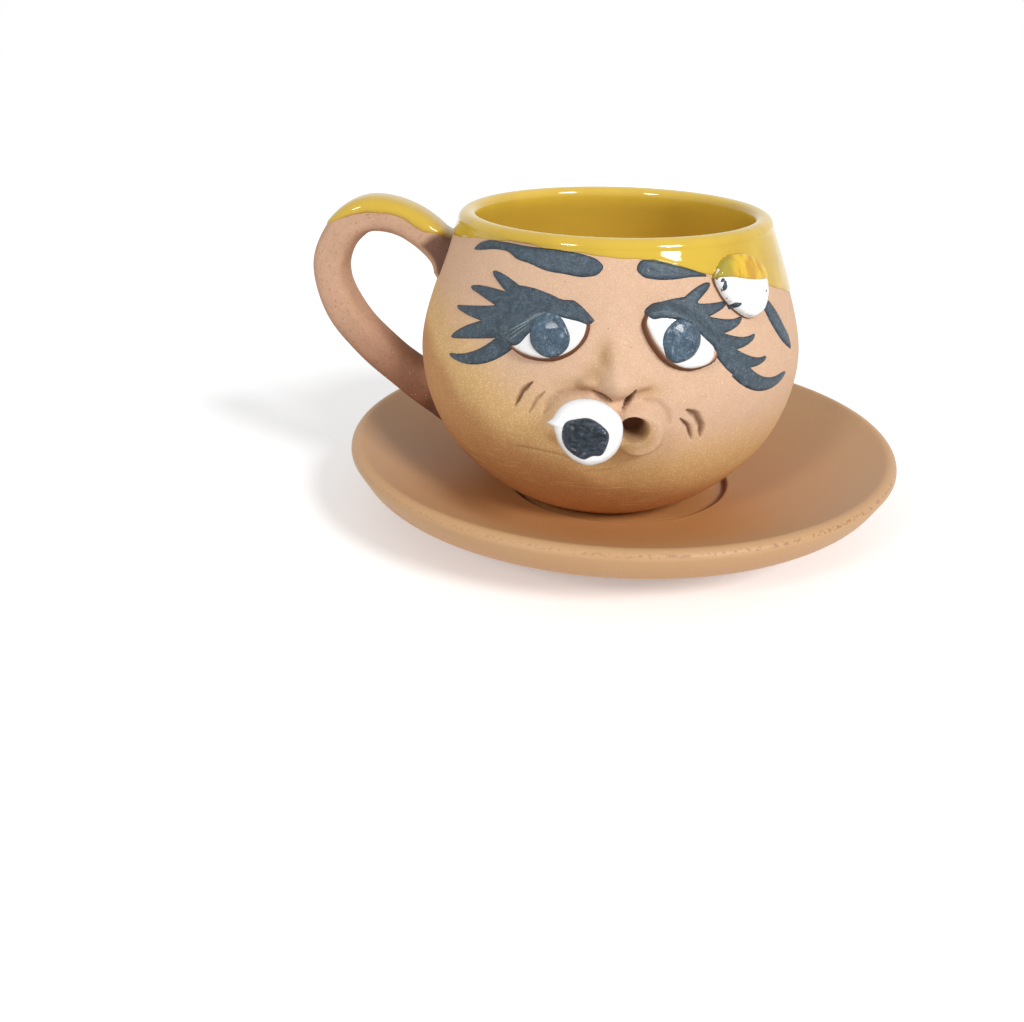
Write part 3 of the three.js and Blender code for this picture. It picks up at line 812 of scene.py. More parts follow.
@dataclass(frozen=True)
class Coat:
    """A coat or pellet with a round edge, laid on whatever is under it.

    It swells by crown towards its middle, and dark_edge is how dark its side is painted, as painted shade,
    from 0 to 1.
    """

    shapes: tuple[Outline | Stroke, ...]
    thick: float
    edge: float
    crown: float = 0.0
    crown_width: float = 4.0
    spacing: float = 0.35
    sunk: float = 0.15
    dark_edge: float = 0.0
    fade: Fade | None = None
    dark_width: Span = (0.5, 1.1)
    edge_width: float = 0.5
    clearance: float = 0.45
    merging: float = 1e-5

    def loops(self) -> list[Array]:
        """The polygons of its shapes."""
        return [shape.loop(self.spacing) for shape in self.shapes]

    def profile(self, inward: Array, across: Array, drop: Array) -> Array:
        """Its thickness at places, each at a distance inward from its edge."""
        share = np.clip(inward / self.edge, 0.0, 1.0)
        swell = 1 - np.exp(-((np.maximum(inward, 0.0) / self.crown_width) ** 2))
        whole = self.thick * np.sqrt(1 - (1 - share) ** 2) + self.crown * swell
        return whole if self.fade is None else whole * self.fade.share(across, drop)

    def height(self, across: Array, drop: Array) -> Array:
        """Finds its thickness at places.

        Args:
            across: How far round the surface they are.
            drop: How far down they are.

        Returns:
            The thickness at each, which is 0 outside the coat.
        """
        points = np.stack([np.ravel(across), np.ravel(drop)], 1)
        result = np.zeros(len(points))
        for loop in self.loops():
            low, high = loop.min(0), loop.max(0)
            near = np.flatnonzero(((points >= low) & (points <= high)).all(1))
            if len(near):
                gap, _ = segment_gap(points[near], loop, np.roll(loop, -1, 0))
                within = inside(points[near], loop)
                thickness = self.profile(gap, points[near, 0], points[near, 1])
                result[near] = np.maximum(result[near], np.where(within, thickness, 0.0))
        return result.reshape(np.shape(across))

    def mesh(
        self, name: str, surface: Wall | Strap | Peg, ground: Ground, marks: Ground | None = None
    ) -> Mesh:
        """Makes the coat's closed mesh.

        Args:
            name: The mesh's name.
            surface: What it lies on.
            ground: How far what is under it already stands off the surface.
            marks: How strongly it is marked at places, from 0 to 1.

        Returns:
            The mesh, with numbers for its edge, the painted shade on its side and its marks.
        """
        loops = self.loops()
        flat = np.concatenate([*loops, self._filling(loops)])
        edges, faces, start = [], [], 0
        for loop in loops:
            ring = list(range(start, start + len(loop)))
            edges += list(zip(ring, ring[1:] + ring[:1]))
            faces.append(ring)
            start += len(loop)
        found = delaunay_2d_cdt([Vector(p) for p in flat], edges, faces, 1, self.merging)
        places = np.array([tuple(p) for p in found[0]])
        triangles = [tuple(face) for face in found[2]]
        rim = self._rim(triangles)
        gap, _ = segment_gap(places, places[rim[:, 0]], places[rim[:, 1]])
        across, drop = places[:, 0], places[:, 1]
        base = ground(across, drop)
        top = surface.place(across, drop, base + self.profile(gap, across, drop))
        under = surface.place(across, drop, base - self.sunk)
        count = len(places)
        sides = [(int(b), int(a), int(a) + count, int(b) + count) for a, b in rim]
        lower = [tuple(i + count for i in reversed(face)) for face in triangles]
        # Painted shade on the coat's side.
        dark = self.dark_edge * (1 - ease(*self.dark_width, gap))
        edge = np.exp(-((gap / self.edge_width) ** 2))
        marked = np.zeros(count) if marks is None else marks(across, drop)
        return build_mesh(
            name, np.concatenate([top, under]), [*triangles, *lower, *sides],
            edge=np.tile(edge, 2), hollow=np.tile(dark, 2), marked=np.tile(marked, 2),
        )

    def _filling(self, loops: Sequence[Array]) -> Array:
        """Spreads places evenly inside the shapes.

        Args:
            loops: The shapes' polygons.

        Returns:
            The places, clear of the outlines.
        """
        low = np.min([loop.min(0) for loop in loops], 0)
        high = np.max([loop.max(0) for loop in loops], 0)
        rows = np.arange(low[1], high[1], self.spacing * math.sqrt(3) / 2)
        spread = []
        for index, row in enumerate(rows):
            offset = self.spacing / 2 if index % 2 else 0.0
            columns = np.arange(low[0] + offset, high[0], self.spacing)
            spread.append(np.stack([columns, np.full(len(columns), row)], 1))
        places = np.concatenate(spread)
        within = np.zeros(len(places), bool)
        gap = np.full(len(places), np.inf)
        for loop in loops:
            within |= inside(places, loop)
            gap = np.minimum(gap, segment_gap(places, loop, np.roll(loop, -1, 0))[0])
        return places[within & (gap > self.clearance * self.spacing)]

    @staticmethod
    def _rim(triangles: Sequence[tuple[int, ...]]) -> Array:
        """The edges that only one triangle has, in its direction."""
        directed = {(a, b) for face in triangles for a, b in zip(face, face[1:] + face[:1])}
        return np.array([(a, b) for a, b in directed if (b, a) not in directed])


# The cup's wall and the face modelled in it


@dataclass(frozen=True)
class Wall:
    """The round wall of the cup, from its foot to its lip."""

    middle_x: float
    base: float
    height: float
    belly_radius: float
    belly_height: float = 29.0
    foot_radius: float = 17.4
    rim_radius: float = 29.3
    thickness: float = 3.0
    floor: float = 4.0
    shoulder_bend: float = 3.0
    lip_fall: float = 4.2

    @classmethod
    def from_frame(cls) -> Wall:
        """Takes the cup's place and outer sizes from its node."""
        low, high = (np.array(corner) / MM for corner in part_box("cup_body"))
        return cls(
            middle_x=float(low[0] + high[0]) / 2,
            base=float(low[2]),
            height=float(high[2] - low[2]),
            belly_radius=float(high[0] - low[0]) / 2,
        )

    @property
    def lip_height(self) -> float:
        """Height at which the lip begins to round over."""
        return self.height - self.thickness / 2

    def radius(self, height: Array) -> Array:
        """Rounds the wall out from the foot to the belly and in again to the rim.

        Args:
            height: Heights above the foot.

        Returns:
            The outer radius at each.
        """
        down = np.clip((self.belly_height - height) / self.belly_height, 0.0, 1.0)
        tuck = 1 - (self.foot_radius / self.belly_radius) ** 2
        bowl = self.belly_radius * np.sqrt(1 - tuck * down**2)
        up = np.clip((height - self.belly_height) / (self.lip_height - self.belly_height), 0.0, None)
        bend = (np.hypot(1, self.shoulder_bend * up) - 1) / (np.hypot(1, self.shoulder_bend) - 1)
        shoulder = self.belly_radius - (self.belly_radius - self.rim_radius) * bend
        return np.where(height < self.belly_height, bowl, shoulder)

    def slope(self, height: Array) -> Array:
        """How fast the radius grows with height."""
        step = 0.01
        return (self.radius(height + step) - self.radius(height - step)) / (2 * step)

    def spin(self, radius: Array, height: Array, turn: Array) -> Array:
        """Points at a radius, a height above the foot and a turn from the middle of the face."""
        x = self.middle_x + radius * np.sin(turn)
        y = -radius * np.cos(turn)
        return np.stack([x, y, self.base + height + 0 * x], -1)

    def place(self, across: Array, drop: Array, lift: Array) -> Array:
        """Points at places on the face, lifted off the wall."""
        height = self.height - drop
        slope = self.slope(height)
        steep = np.hypot(1, slope)
        turn = across / self.radius(height)
        return self.spin(self.radius(height) + lift / steep, height - lift * slope / steep, turn)

    def inner_radius(self, height: Array, lift: float) -> Array:
        """Radius of the hollow, with a coat of that thickness on it."""
        return self.radius(height) - (self.thickness + lift) * np.hypot(1, self.slope(height))

    @property
    def hollow_top(self) -> float:
        """Height at which the lip's inner side has run out into the hollow."""
        return self.height - self.lip_fall

    def lip(self, lift: float, count: int) -> list[tuple[float, float]]:
        """The lip from the outside over its crest to the hollow.

        Args:
            lift: Thickness of a coat on it.
            count: How many steps it has.

        Returns:
            Radius and height of each step after the first.
        """
        outside = self.radius(self.lip_height) + lift
        end = np.array([self.inner_radius(self.hollow_top, lift), self.hollow_top])
        crest = np.array([outside - self.thickness / 2 - lift, self.height + lift])
        lean = self.slope(self.hollow_top)
        pull = np.array([end[0] + lean * (crest[1] - end[1]), crest[1]])
        steps = []
        for angle in np.linspace(0.0, math.pi / 2, count // 2 + 1)[1:]:
            reach = crest[0] + (outside - crest[0]) * math.cos(angle)
            steps.append((reach, self.lip_height + (crest[1] - self.lip_height) * math.sin(angle)))
        shares = np.linspace(0.0, 1.0, count - count // 2 + 1)[1:]
        return steps + [tuple(curve(crest, pull, end, t)) for t in shares]


@dataclass(frozen=True)
class Groove:
    """A line cut into the clay with a tool."""

    line: tuple[Place, ...]
    half_width: float
    depth: float
    end_share: float = 0.35
    end_reach: float = 1.6
    sharpness: float = 0.7

    def cut(self, across: Array, drop: Array) -> Array:
        """How deep the cut is at places, as a share of its depth."""
        points = np.stack([np.ravel(across), np.ravel(drop)], 1)
        line = np.array(self.line)
        gap, _ = segment_gap(points, line[:-1], line[1:])
        ends = np.minimum(*(np.linalg.norm(points - end, axis=1) for end in (line[0], line[-1])))
        width = self.half_width * (self.end_share + (1 - self.end_share) * ease(0.0, self.end_reach, ends))
        return (np.clip(1 - gap / width, 0.0, 1.0) ** self.sharpness).reshape(np.shape(across))


@dataclass(frozen=True)
class ShadePatch:
    """A soft brown patch of painted shade on the clay."""

    place: Place
    size: Place
    strength: float


@dataclass(frozen=True)
class Face:
    """The nose, the mouth and the tool marks, as relief on the wall."""

    nose_tip: Place = (1.5, 22.0)
    nose_tip_size: Place = (2.9, 2.4)
    nose_rise: float = 4.2
    bridge_top: Place = (0.5, 13.0)
    bridge_width: float = 1.7
    bridge_rise: float = 3.2
    bridge_start: float = -0.2
    bridge_end: float = 1.35
    left_wing: Place = (-3.3, 21.9)
    right_wing: Place = (5.3, 22.0)
    wing_size: Place = (1.8, 1.3)
    wing_rise: float = 2.5
    nose_base: float = 24.9
    nose_base_slant: float = 0.36
    nose_base_rise: float = 1.5
    nose_base_edge: Span = (-1.2, 0.5)
    nose_blend: float = 0.4
    mouth_left: Place = (-4.1, 30.5)
    mouth_left_radius: float = 7.3
    mouth_right: Place = (5.2, 29.8)
    mouth_right_radius: float = 5.4
    mouth_blend: float = 0.6
    hole: Place = (4.2, 28.85)
    hole_size: Place = (2.1, 1.95)
    hole_depth: float = 4.2
    hole_edge: Span = (0.75, 1.2)
    lip_edge: float = 0.5
    lip_slope: float = 2.4
    lip_rise: float = 2.7
    lip_end_drop: Span = (29.0, 34.0)
    lip_end_across: Span = (-3.0, 1.5)
    puff: float = 0.6
    puff_width: float = 4.0
    blend: float = 0.22
    cut_shade: float = 1.15
    wave_rise: float = 0.06
    wave_start: Place = (1.0, 0.4)
    broad_wave: Place = (9.0, 7.0)
    narrow_wave: Place = (4.1, 5.3)
    narrow_share: float = 0.6
    # Painted shade: brown patches where shade falls round the nose and the mouth.
    stains: tuple[ShadePatch, ...] = (
        ShadePatch((-0.9, 17.8), (0.9, 1.6), 0.7),
        ShadePatch((-2.4, 20.6), (1.4, 1.4), 0.6),
        ShadePatch((-5.0, 22.4), (2.4, 0.9), 0.5),
        ShadePatch((6.4, 23.0), (2.0, 1.0), 0.55),
        ShadePatch((6.1, 29.7), (1.2, 1.6), 0.8),
        ShadePatch((3.4, 31.6), (1.4, 1.1), 0.85),
    )
    grooves: tuple[Groove, ...] = (
        Groove(((-13.3, 22.9), (-15.1, 24.7), (-16.5, 27.6)), 0.5, 0.8),
        Groove(((-10.9, 24.2), (-12.4, 25.8), (-13.6, 28.2)), 0.38, 0.45),
        Groove(((13.8, 26.9), (15.6, 28.0), (16.9, 30.2), (17.0, 32.4)), 0.75, 0.8),
        Groove(((12.6, 28.3), (14.2, 29.9), (15.2, 32.6)), 0.42, 0.8),
        Groove(((-2.4, 23.2), (-0.8, 23.8), (0.6, 24.8)), 0.42, 0.8),
        Groove(((-10.8, 27.9), (-10.0, 25.8), (-8.2, 24.2), (-5.4, 23.3), (-2.6, 23.2)), 0.8, 0.28),
        Groove(((5.8, 24.5), (8.4, 25.0), (10.1, 26.6), (10.7, 29.0)), 0.7, 0.2),
        Groove(((4.2, 22.9), (3.4, 24.2), (2.5, 26.0)), 0.55, 1.8),
        Groove(((-16.4, 35.7), (-12.0, 35.4), (-8.0, 35.7), (-5.8, 36.4)), 0.35, 0.26),
        Groove(((-3.7, 38.8), (-0.1, 38.5), (2.4, 37.8)), 0.3, 0.08),
    )

    def mouth_gap(self, across: Array, drop: Array) -> Array:
        """Distance outside the lips' outer edge, which is negative inside it."""
        left = np.hypot(across - self.mouth_left[0], drop - self.mouth_left[1]) - self.mouth_left_radius
        right = np.hypot(across - self.mouth_right[0], drop - self.mouth_right[1]) - self.mouth_right_radius
        return -self._smooth_max(-left, -right, self.mouth_blend)

    @staticmethod
    def _smooth_max(first: Array, second: Array, blend: float) -> Array:
        """The greater of two heights, with the crease between them softened."""
        return blend * (np.logaddexp(first / blend, second / blend) - math.log(2))

    def nose(self, across: Array, drop: Array) -> Array:
        """Shapes the nose: its tip, its wings and its bridge, cut off below.

        Args:
            across: How far round the wall places are.
            drop: How far below the rim they are.

        Returns:
            How far it stands off the wall there.
        """
        tip = self.nose_rise * mound(across, drop, self.nose_tip, *self.nose_tip_size)
        wings = mound(across, drop, self.left_wing, *self.wing_size)
        wings = self.wing_rise * np.maximum(wings, mound(across, drop, self.right_wing, *self.wing_size))
        share = (drop - self.bridge_top[1]) / (self.nose_tip[1] - self.bridge_top[1])
        spine = self.bridge_top[0] + (self.nose_tip[0] - self.bridge_top[0]) * share
        along = ease(self.bridge_start, 1.0, share) * (1 - ease(1.0, self.bridge_end, share))
        bridge = self.bridge_rise * along * np.exp(-0.5 * ((across - spine) / self.bridge_width) ** 2)
        whole = self._smooth_max(tip, wings, self.nose_blend)
        whole = self._smooth_max(whole, bridge, self.nose_blend)
        aside = np.abs(across - self.nose_tip[0])
        base = self.nose_base - np.minimum(self.nose_base_slant * aside, self.nose_base_rise)
        return whole * (1 - ease(*self.nose_base_edge, drop - base))

    def lips(self, across: Array, drop: Array) -> Array:
        """How far the ring of the lips stands off the wall."""
        gap = self.mouth_gap(across, drop)
        ring = self.lip_rise * (1 - ease(self.lip_edge - self.lip_slope, self.lip_edge, gap))
        gone = ease(*self.lip_end_drop, drop) * (1 - ease(*self.lip_end_across, across))
        puff = self.puff * np.exp(-0.5 * (np.maximum(gap, 0.0) / self.puff_width) ** 2)
        return ring * (1 - gone) + puff

    def hole_share(self, across: Array, drop: Array) -> Array:
        """How far inside the open corner of the mouth places are, from 0 to 1."""
        aside = (across - self.hole[0]) / self.hole_size[0]
        below = (drop - self.hole[1]) / self.hole_size[1]
        return 1 - ease(*self.hole_edge, np.hypot(aside, below))

    def lift(self, across: Array, drop: Array) -> Array:
        """Puts the whole relief together.

        Args:
            across: How far round the wall places are.
            drop: How far below the rim they are.

        Returns:
            How far the clay stands off the round wall there.
        """
        relief = self._smooth_max(self.nose(across, drop), self.lips(across, drop), self.blend)
        relief = relief - self.hole_depth * self.hole_share(across, drop)
        for groove in self.grooves:
            relief = relief - groove.depth * groove.cut(across, drop)
        (start_x, start_y), (broad_x, broad_y) = self.wave_start, self.broad_wave
        broad = np.sin(across / broad_x + start_x) * np.sin(drop / broad_y + start_y)
        narrow = self.narrow_share * np.sin(across / self.narrow_wave[0] - drop / self.narrow_wave[1])
        return relief + self.wave_rise * (broad + narrow)

    def hollow(self, across: Array, drop: Array) -> Array:
        """How much painted shade darkens the clay in the cuts and in the mouth's hole, from 0 to 1; in the
        cuts it is partly the clay's own darker colour.
        """
        dark = self.hole_share(across, drop)
        for groove in self.grooves:
            dark = np.maximum(dark, groove.cut(across, drop) * min(1.0, self.cut_shade * groove.depth))
        return np.clip(dark, 0.0, 1.0)

    def stained(self, across: Array, drop: Array) -> Array:
        """How much painted shade browns the clay round the nose and the mouth, from 0 to 1."""
        patches = [stain.strength * mound(across, drop, stain.place, *stain.size) for stain in self.stains]
        return np.max(patches, 0)


@dataclass(frozen=True)
class Dip:
    """The line to which the cup was dipped in glaze: highest on the left brow, fallen away on the right."""

    line: tuple[Place, ...] = (
        (-150.0, 3.4), (-80.0, 4.3), (-58.0, 2.5), (-36.0, 1.35), (-10.0, 2.1), (12.0, 2.9),
        (22.0, 4.2), (32.0, 5.8), (58.0, 9.2), (80.0, 13.2), (105.0, 12.0), (150.0, 4.0),
    )
    soft: float = 5.0
    soft_steps: int = 9
    ripples: tuple[tuple[float, int, float], ...] = ((0.07, 17, 2.0), (0.05, 41, 0.0))

    def at(self, turn: Array) -> Array:
        """Drop of the line below the rim at a turn from the middle of the face."""
        knots = np.array(self.line)
        degrees = np.degrees(turn)
        shifts = np.linspace(-self.soft, self.soft, self.soft_steps)
        levels = [np.interp(degrees + shift, knots[:, 0], knots[:, 1], period=360.0) for shift in shifts]
        waves = sum(rise * np.sin(count * turn + phase) for rise, count, phase in self.ripples)
        return np.mean(levels, 0) + waves


@dataclass(frozen=True)
class ClayBody:
    """The thrown wall with the face modelled in it. Turns are in degrees, the rest in millimetres."""

    FINE_TURN, MIDDLE_TURN, BACK_TURN = 33.0, 78.0, 180.0
    FINE_STEP, MIDDLE_STEP, BACK_STEP = 0.4, 0.85, 2.4
    FOOT_TOP, MOUTH_LOW, EYES_LOW, EYES_TOP = 14.0, 16.5, 36.2, 50.0
    ROW_STEP, MOUTH_STEP = 0.5, 0.21
    FOOT_ROWS, TOP_ROWS, LIP_ROWS, HOLLOW_ROWS = 26, 8, 14, 18
    FOOT_CROWDING = 1.6
    FOOT_INSET, BEVEL, BEVEL_MIDDLE = 3.0, 0.7, 0.3
    FOOT_FADE, LIP_FADE = 6.0, 3.0

    wall: Wall
    face: Face

    def turns(self) -> Array:
        """Turns of the columns in radians, closest together across the face."""
        fine, middle, back = self.FINE_TURN, self.MIDDLE_TURN, self.BACK_TURN
        right = np.concatenate([
            steps_between(fine, middle, self.MIDDLE_STEP),
            steps_between(middle, back, self.BACK_STEP),
            [back],
        ])
        front = steps_between(-fine, fine, self.FINE_STEP)
        return np.radians(np.concatenate([-right[::-1][1:-1], front, right]))

    def heights(self) -> Array:
        """Heights of the rows on the outer wall, above the foot's bevel."""
        rows = np.concatenate([
            self.FOOT_TOP * np.linspace(0.0, 1.0, self.FOOT_ROWS, endpoint=False) ** self.FOOT_CROWDING,
            steps_between(self.FOOT_TOP, self.MOUTH_LOW, self.ROW_STEP),
            steps_between(self.MOUTH_LOW, self.EYES_LOW, self.MOUTH_STEP),
            steps_between(self.EYES_LOW, self.EYES_TOP, self.ROW_STEP),
            np.linspace(self.EYES_TOP, self.wall.lip_height, self.TOP_ROWS),
        ])
        return rows[rows >= self.BEVEL]

    def mesh(self) -> Mesh:
        """The wall's closed mesh, with painted shade in its hollows and round the nose and the mouth stored
        on it.
        """
        wall, face, turns = self.wall, self.face, self.turns()
        bevel, halfway = self.BEVEL, self.BEVEL_MIDDLE * self.BEVEL
        rings = [
            wall.spin(wall.foot_radius - inset, height, turns)
            for inset, height in ((self.FOOT_INSET, 0.0), (bevel, 0.0), (halfway, halfway))
        ]
        clean = np.zeros(len(turns))
        hollow, stain = [clean] * len(rings), [clean] * len(rings)
        for height in self.heights():
            across = turns * wall.radius(height)
            drop = np.full(len(turns), wall.height - height)
            fall = ease(wall.lip_height - self.LIP_FADE, wall.lip_height, height)
            fade = ease(0.0, self.FOOT_FADE, height) * (1 - fall)
            rings.append(wall.place(across, drop, fade * face.lift(across, drop)))
            hollow.append(fade * face.hollow(across, drop))
            stain.append(fade * face.stained(across, drop))
        rings += [wall.spin(reach, height, turns) for reach, height in wall.lip(0.0, self.LIP_ROWS)]
        for height in np.linspace(wall.hollow_top, wall.floor, self.HOLLOW_ROWS)[1:]:
            rings.append(wall.spin(wall.inner_radius(height, 0.0), height, turns))
        rest = [clean] * (len(rings) - len(hollow))
        ends = (wall.spin(0.0, 0.0, 0.0), wall.spin(0.0, wall.floor, 0.0))
        points, faces = closed_rings(rings, ends)
        dark, brown = (np.concatenate([*marks, *rest, np.zeros(len(ends))]) for marks in (hollow, stain))
        return build_mesh("cup_wall", points, faces, hollow=dark, stain=brown)


@dataclass(frozen=True)
class GlazeLining:
    """Honey glaze inside the cup, over the lip and down to the dip line."""

    COLUMNS = 400
    OUTER_RINGS, LIP_RINGS, HOLLOW_RINGS, CURVE_RINGS = 22, 18, 24, 12
    OUTER_CROWDING = 1.5
    EDGE_ROUND, EDGE_THICK, SUNK = 0.9, 0.02, 0.2
    FULL_SLIP = 0.2
    FLOOR_CURVE, FLOOR_SHARES = 4.0, (0.6, 0.25)

    wall: Wall
    dip: Dip
    brows: Sequence[Coat]
    thick: float = 0.38

    def ring_sets(self, lift: float, edge: float) -> tuple[list[Array], list[Array]]:
        """Rings of one side of the coat.

        Args:
            lift: How far this side stands off the clay.
            edge: How far it stands off at the dip line.

        Returns:
            The rings from the dip line to the floor, and at each point how much dark slip is under it.
        """
        wall = self.wall
        turns = np.linspace(-math.pi, math.pi, self.COLUMNS, endpoint=False)
        rings, slip = [], []
        lowest = self.dip.at(turns)
        for share in np.linspace(0.0, 1.0, self.OUTER_RINGS) ** self.OUTER_CROWDING:
            drop = lowest + (wall.thickness / 2 - lowest) * share
            inward = np.clip((lowest - drop) / self.EDGE_ROUND, 0.0, 1.0)
            across = turns * wall.radius(wall.height - drop)
            under = sum(brow.height(across, drop) for brow in self.brows)
            rise = edge + (lift - edge) * np.sqrt(1 - (1 - inward) ** 2)
            rings.append(wall.place(across, drop, rise + (lift > 0.0) * under))
            slip.append(np.clip(under / self.FULL_SLIP, 0.0, 1.0))
        rings += [wall.spin(reach, height, turns) for reach, height in wall.lip(lift, self.LIP_RINGS)]
        rings += [wall.spin(reach, height, turns) for reach, height in self.hollow(lift)]
        slip += [np.zeros(self.COLUMNS)] * (len(rings) - len(slip))
        return rings, slip

    def hollow(self, lift: float) -> list[tuple[float, float]]:
        """The coat below the lip: down the wall, round into the floor and along it.

        Args:
            lift: How far it stands off the clay.

        Returns:
            Radius and height of each step.
        """
        wall = self.wall
        low = wall.floor + lift
        heights = np.linspace(wall.hollow_top, low + self.FLOOR_CURVE, self.HOLLOW_RINGS)[1:]
        steps = [(wall.inner_radius(height, lift), height) for height in heights]
        (before, above), (shoulder, top) = steps[-2:]
        corner = np.array([shoulder - (before - shoulder) / (above - top) * self.FLOOR_CURVE, low])
        start = np.array([shoulder, top])
        end = corner - (np.linalg.norm(start - corner), 0.0)
        shares = np.linspace(0.0, 1.0, self.CURVE_RINGS)[1:]
        steps += [tuple(curve(start, corner, end, t)) for t in shares]
        return steps + [(share * end[0], low) for share in self.FLOOR_SHARES]

    def mesh(self) -> Mesh:
        """The coat's closed mesh."""
        upper, slip = self.ring_sets(self.thick, self.EDGE_THICK)
        lower, _ = self.ring_sets(-self.SUNK, -self.SUNK)
        ends = [self.wall.spin(0.0, self.wall.floor + lift, 0.0) for lift in (-self.SUNK, self.thick)]
        points, faces = closed_rings([*lower[::-1], *upper], ends)
        bare = np.zeros(len(lower) * self.COLUMNS)
        under = np.concatenate([bare, *slip, np.zeros(len(ends))])
        # How deep inside the cup the glaze lies, where it is painted lighter as painted light.
        deep = np.clip((np.arange(len(upper)) - self.OUTER_RINGS) / self.LIP_RINGS, 0.0, 1.0)
        inner = np.concatenate([bare, np.repeat(deep, self.COLUMNS), [0.0, 1.0]])
        return build_mesh("glaze_lining_coat", points, faces, marked=under, inner=inner)


# The handle


@dataclass(frozen=True)
class Strap:
    """The pulled handle: an oval strap that leaves the wall, arches over and comes home lower down."""

    SIDES, END_STEPS, BEND_STEPS, PATH_POINTS, ROOT_PASSES = 72, 6, 60, 221, 12
    STEP, ROOT_STEP = 0.33, 0.1
    PULL_DEPTH, PULL_LENGTH, TWIST_LENGTH = 0.05, 3.1, 1.7
    CORNER_TONE, CORNER_REACH = 0.55, (1.0, 4.0)
    BURN_TONE, BURN_LEAN, BURN_MIDDLE = 0.82, 0.3, 5.0
    BURN_END, BURN_TOP, BURN_FRONT = (5.0, 6.8), (0.0, 2.6), (6.6, 8.0)

    wall: Wall
    width: float = 9.0
    thickness: float = 6.0
    low_thickness: float = 7.4
    top_drop: float = 8.9
    top_lean: float = 60.0
    arch_reach: float = 8.7
    arch_drop: float = 1.3
    loop_reach: float = 18.0
    loop_drop: float = 11.9
    low_height: float = 18.2
    low_lean: float = 37.0
    squareness: float = 3.4
    buried: float = 1.6
    root_depth: float = 0.9
    top_fillet: float = 2.4
    low_fillet: float = 1.6
    fillet_share: float = 0.86
    root_length: float = 7.0

    def path(self) -> Array:
        """Points along the middle of the strap, as (reach from the cup's axis, height above the foot)."""
        wall = self.wall
        top_height = wall.height - self.top_drop
        top = np.array([wall.radius(top_height), top_height])
        arch = np.array([wall.belly_radius + self.arch_reach, wall.height - self.arch_drop])
        loop = np.array([wall.belly_radius + self.loop_reach, wall.height - self.loop_drop])
        low = np.array([wall.radius(self.low_height), self.low_height])
        out = self._heading(self.top_lean)
        home = self._heading(180.0 + self.low_lean)
        level, down = self._heading(0.0), self._heading(-90.0)
        pieces = [
            top - out * self.buried * np.linspace(1.0, 0.0, self.END_STEPS, endpoint=False)[:, None],
            self._bend(top, out, arch, level),
            self._bend(arch, level, loop, down),
            self._bend(loop, down, low, home),
            low + home * self.buried * np.linspace(0.0, 1.0, self.END_STEPS)[:, None],
        ]
        rough = np.concatenate(pieces)
        gone = np.concatenate([[0.0], np.cumsum(np.linalg.norm(np.diff(rough, axis=0), axis=1))])
        even = np.linspace(0.0, gone[-1], self.PATH_POINTS)
        return np.stack([np.interp(even, gone, rough[:, 0]), np.interp(even, gone, rough[:, 1])], 1)

    @staticmethod
    def _heading(degrees: float) -> Array:
        """A direction: 0 is away from the cup, 90 is up."""
        return np.array([math.cos(math.radians(degrees)), math.sin(math.radians(degrees))])

    @classmethod
    def _bend(cls, start: Array, leaving: Array, end: Array, arriving: Array) -> Array:
        """Bends the path between two points.

        Args:
            start: The first point.
            leaving: The direction in which it leaves that.
            end: The second point.
            arriving: The direction in which it comes to that.

        Returns:
            Points of the bend, without its end.
        """
        pull = np.linalg.norm(end - start) / 3
        t = np.linspace(0.0, 1.0, cls.BEND_STEPS, endpoint=False)[:, None]
        first, second = start + leaving * pull, end - arriving * pull
        return (
            start * (1 - t) ** 3 + 3 * first * t * (1 - t) ** 2 + 3 * second * t * t * (1 - t) + end * t**3
        )

    def length(self) -> float:
        """Length of the strap's middle line."""
        return float(np.linalg.norm(np.diff(self.path(), axis=0), axis=1).sum())

    def place(self, along: Array, around: Array, lift: Array) -> Array:
        """Points on the strap.

        Args:
            along: Distance from the buried upper end.
            around: Distance round the strap from the middle of its outer side, plus towards the viewer.
            lift: Distance off the strap.

        Returns:
            The points.
        """
        path = self.path()
        length = self.length()
        at = np.linspace(0.0, length, len(path))
        ways = np.gradient(path, axis=0)
        ways /= np.linalg.norm(ways, axis=1)[:, None]
        reach, height = (np.interp(along, at, path[:, axis]) for axis in (0, 1))
        way_x, way_z = (np.interp(along, at, ways[:, axis]) for axis in (0, 1))
        share = along / length
        thick = (self.thickness + (self.low_thickness - self.thickness) * share) / 2
        angle = around / self.girth_radius()
        power = 2 / self.squareness
        outward = np.sign(np.cos(angle)) * np.abs(np.cos(angle)) ** power * thick
        sideways = np.sign(np.sin(angle)) * np.abs(np.sin(angle)) ** power * self.width / 2
        size = np.hypot(outward, sideways)
        outward, sideways = outward * (1 + lift / size), sideways * (1 + lift / size)
        out_x, out_z = -way_z, way_x
        radius, level = reach + out_x * outward, height + out_z * outward
        gap = (np.hypot(radius, sideways) - self.wall.radius(level)) / np.hypot(1, self.wall.slope(level))
        fillet = self.top_fillet + (self.low_fillet - self.top_fillet) * share
        close = np.clip(1 - gap / fillet, 0.0, 1.0)
        swell = 1 + fillet * (1 - np.sqrt(1 - self.fillet_share * close**2)) / size
        radius, level = reach + out_x * outward * swell, height + out_z * outward * swell
        x = self.wall.middle_x - radius
        return np.stack([x, -sideways * swell, self.wall.base + level], -1)

    def girth_radius(self) -> float:
        """Mean radius of the section."""
        return (self.width + self.thickness) / 4

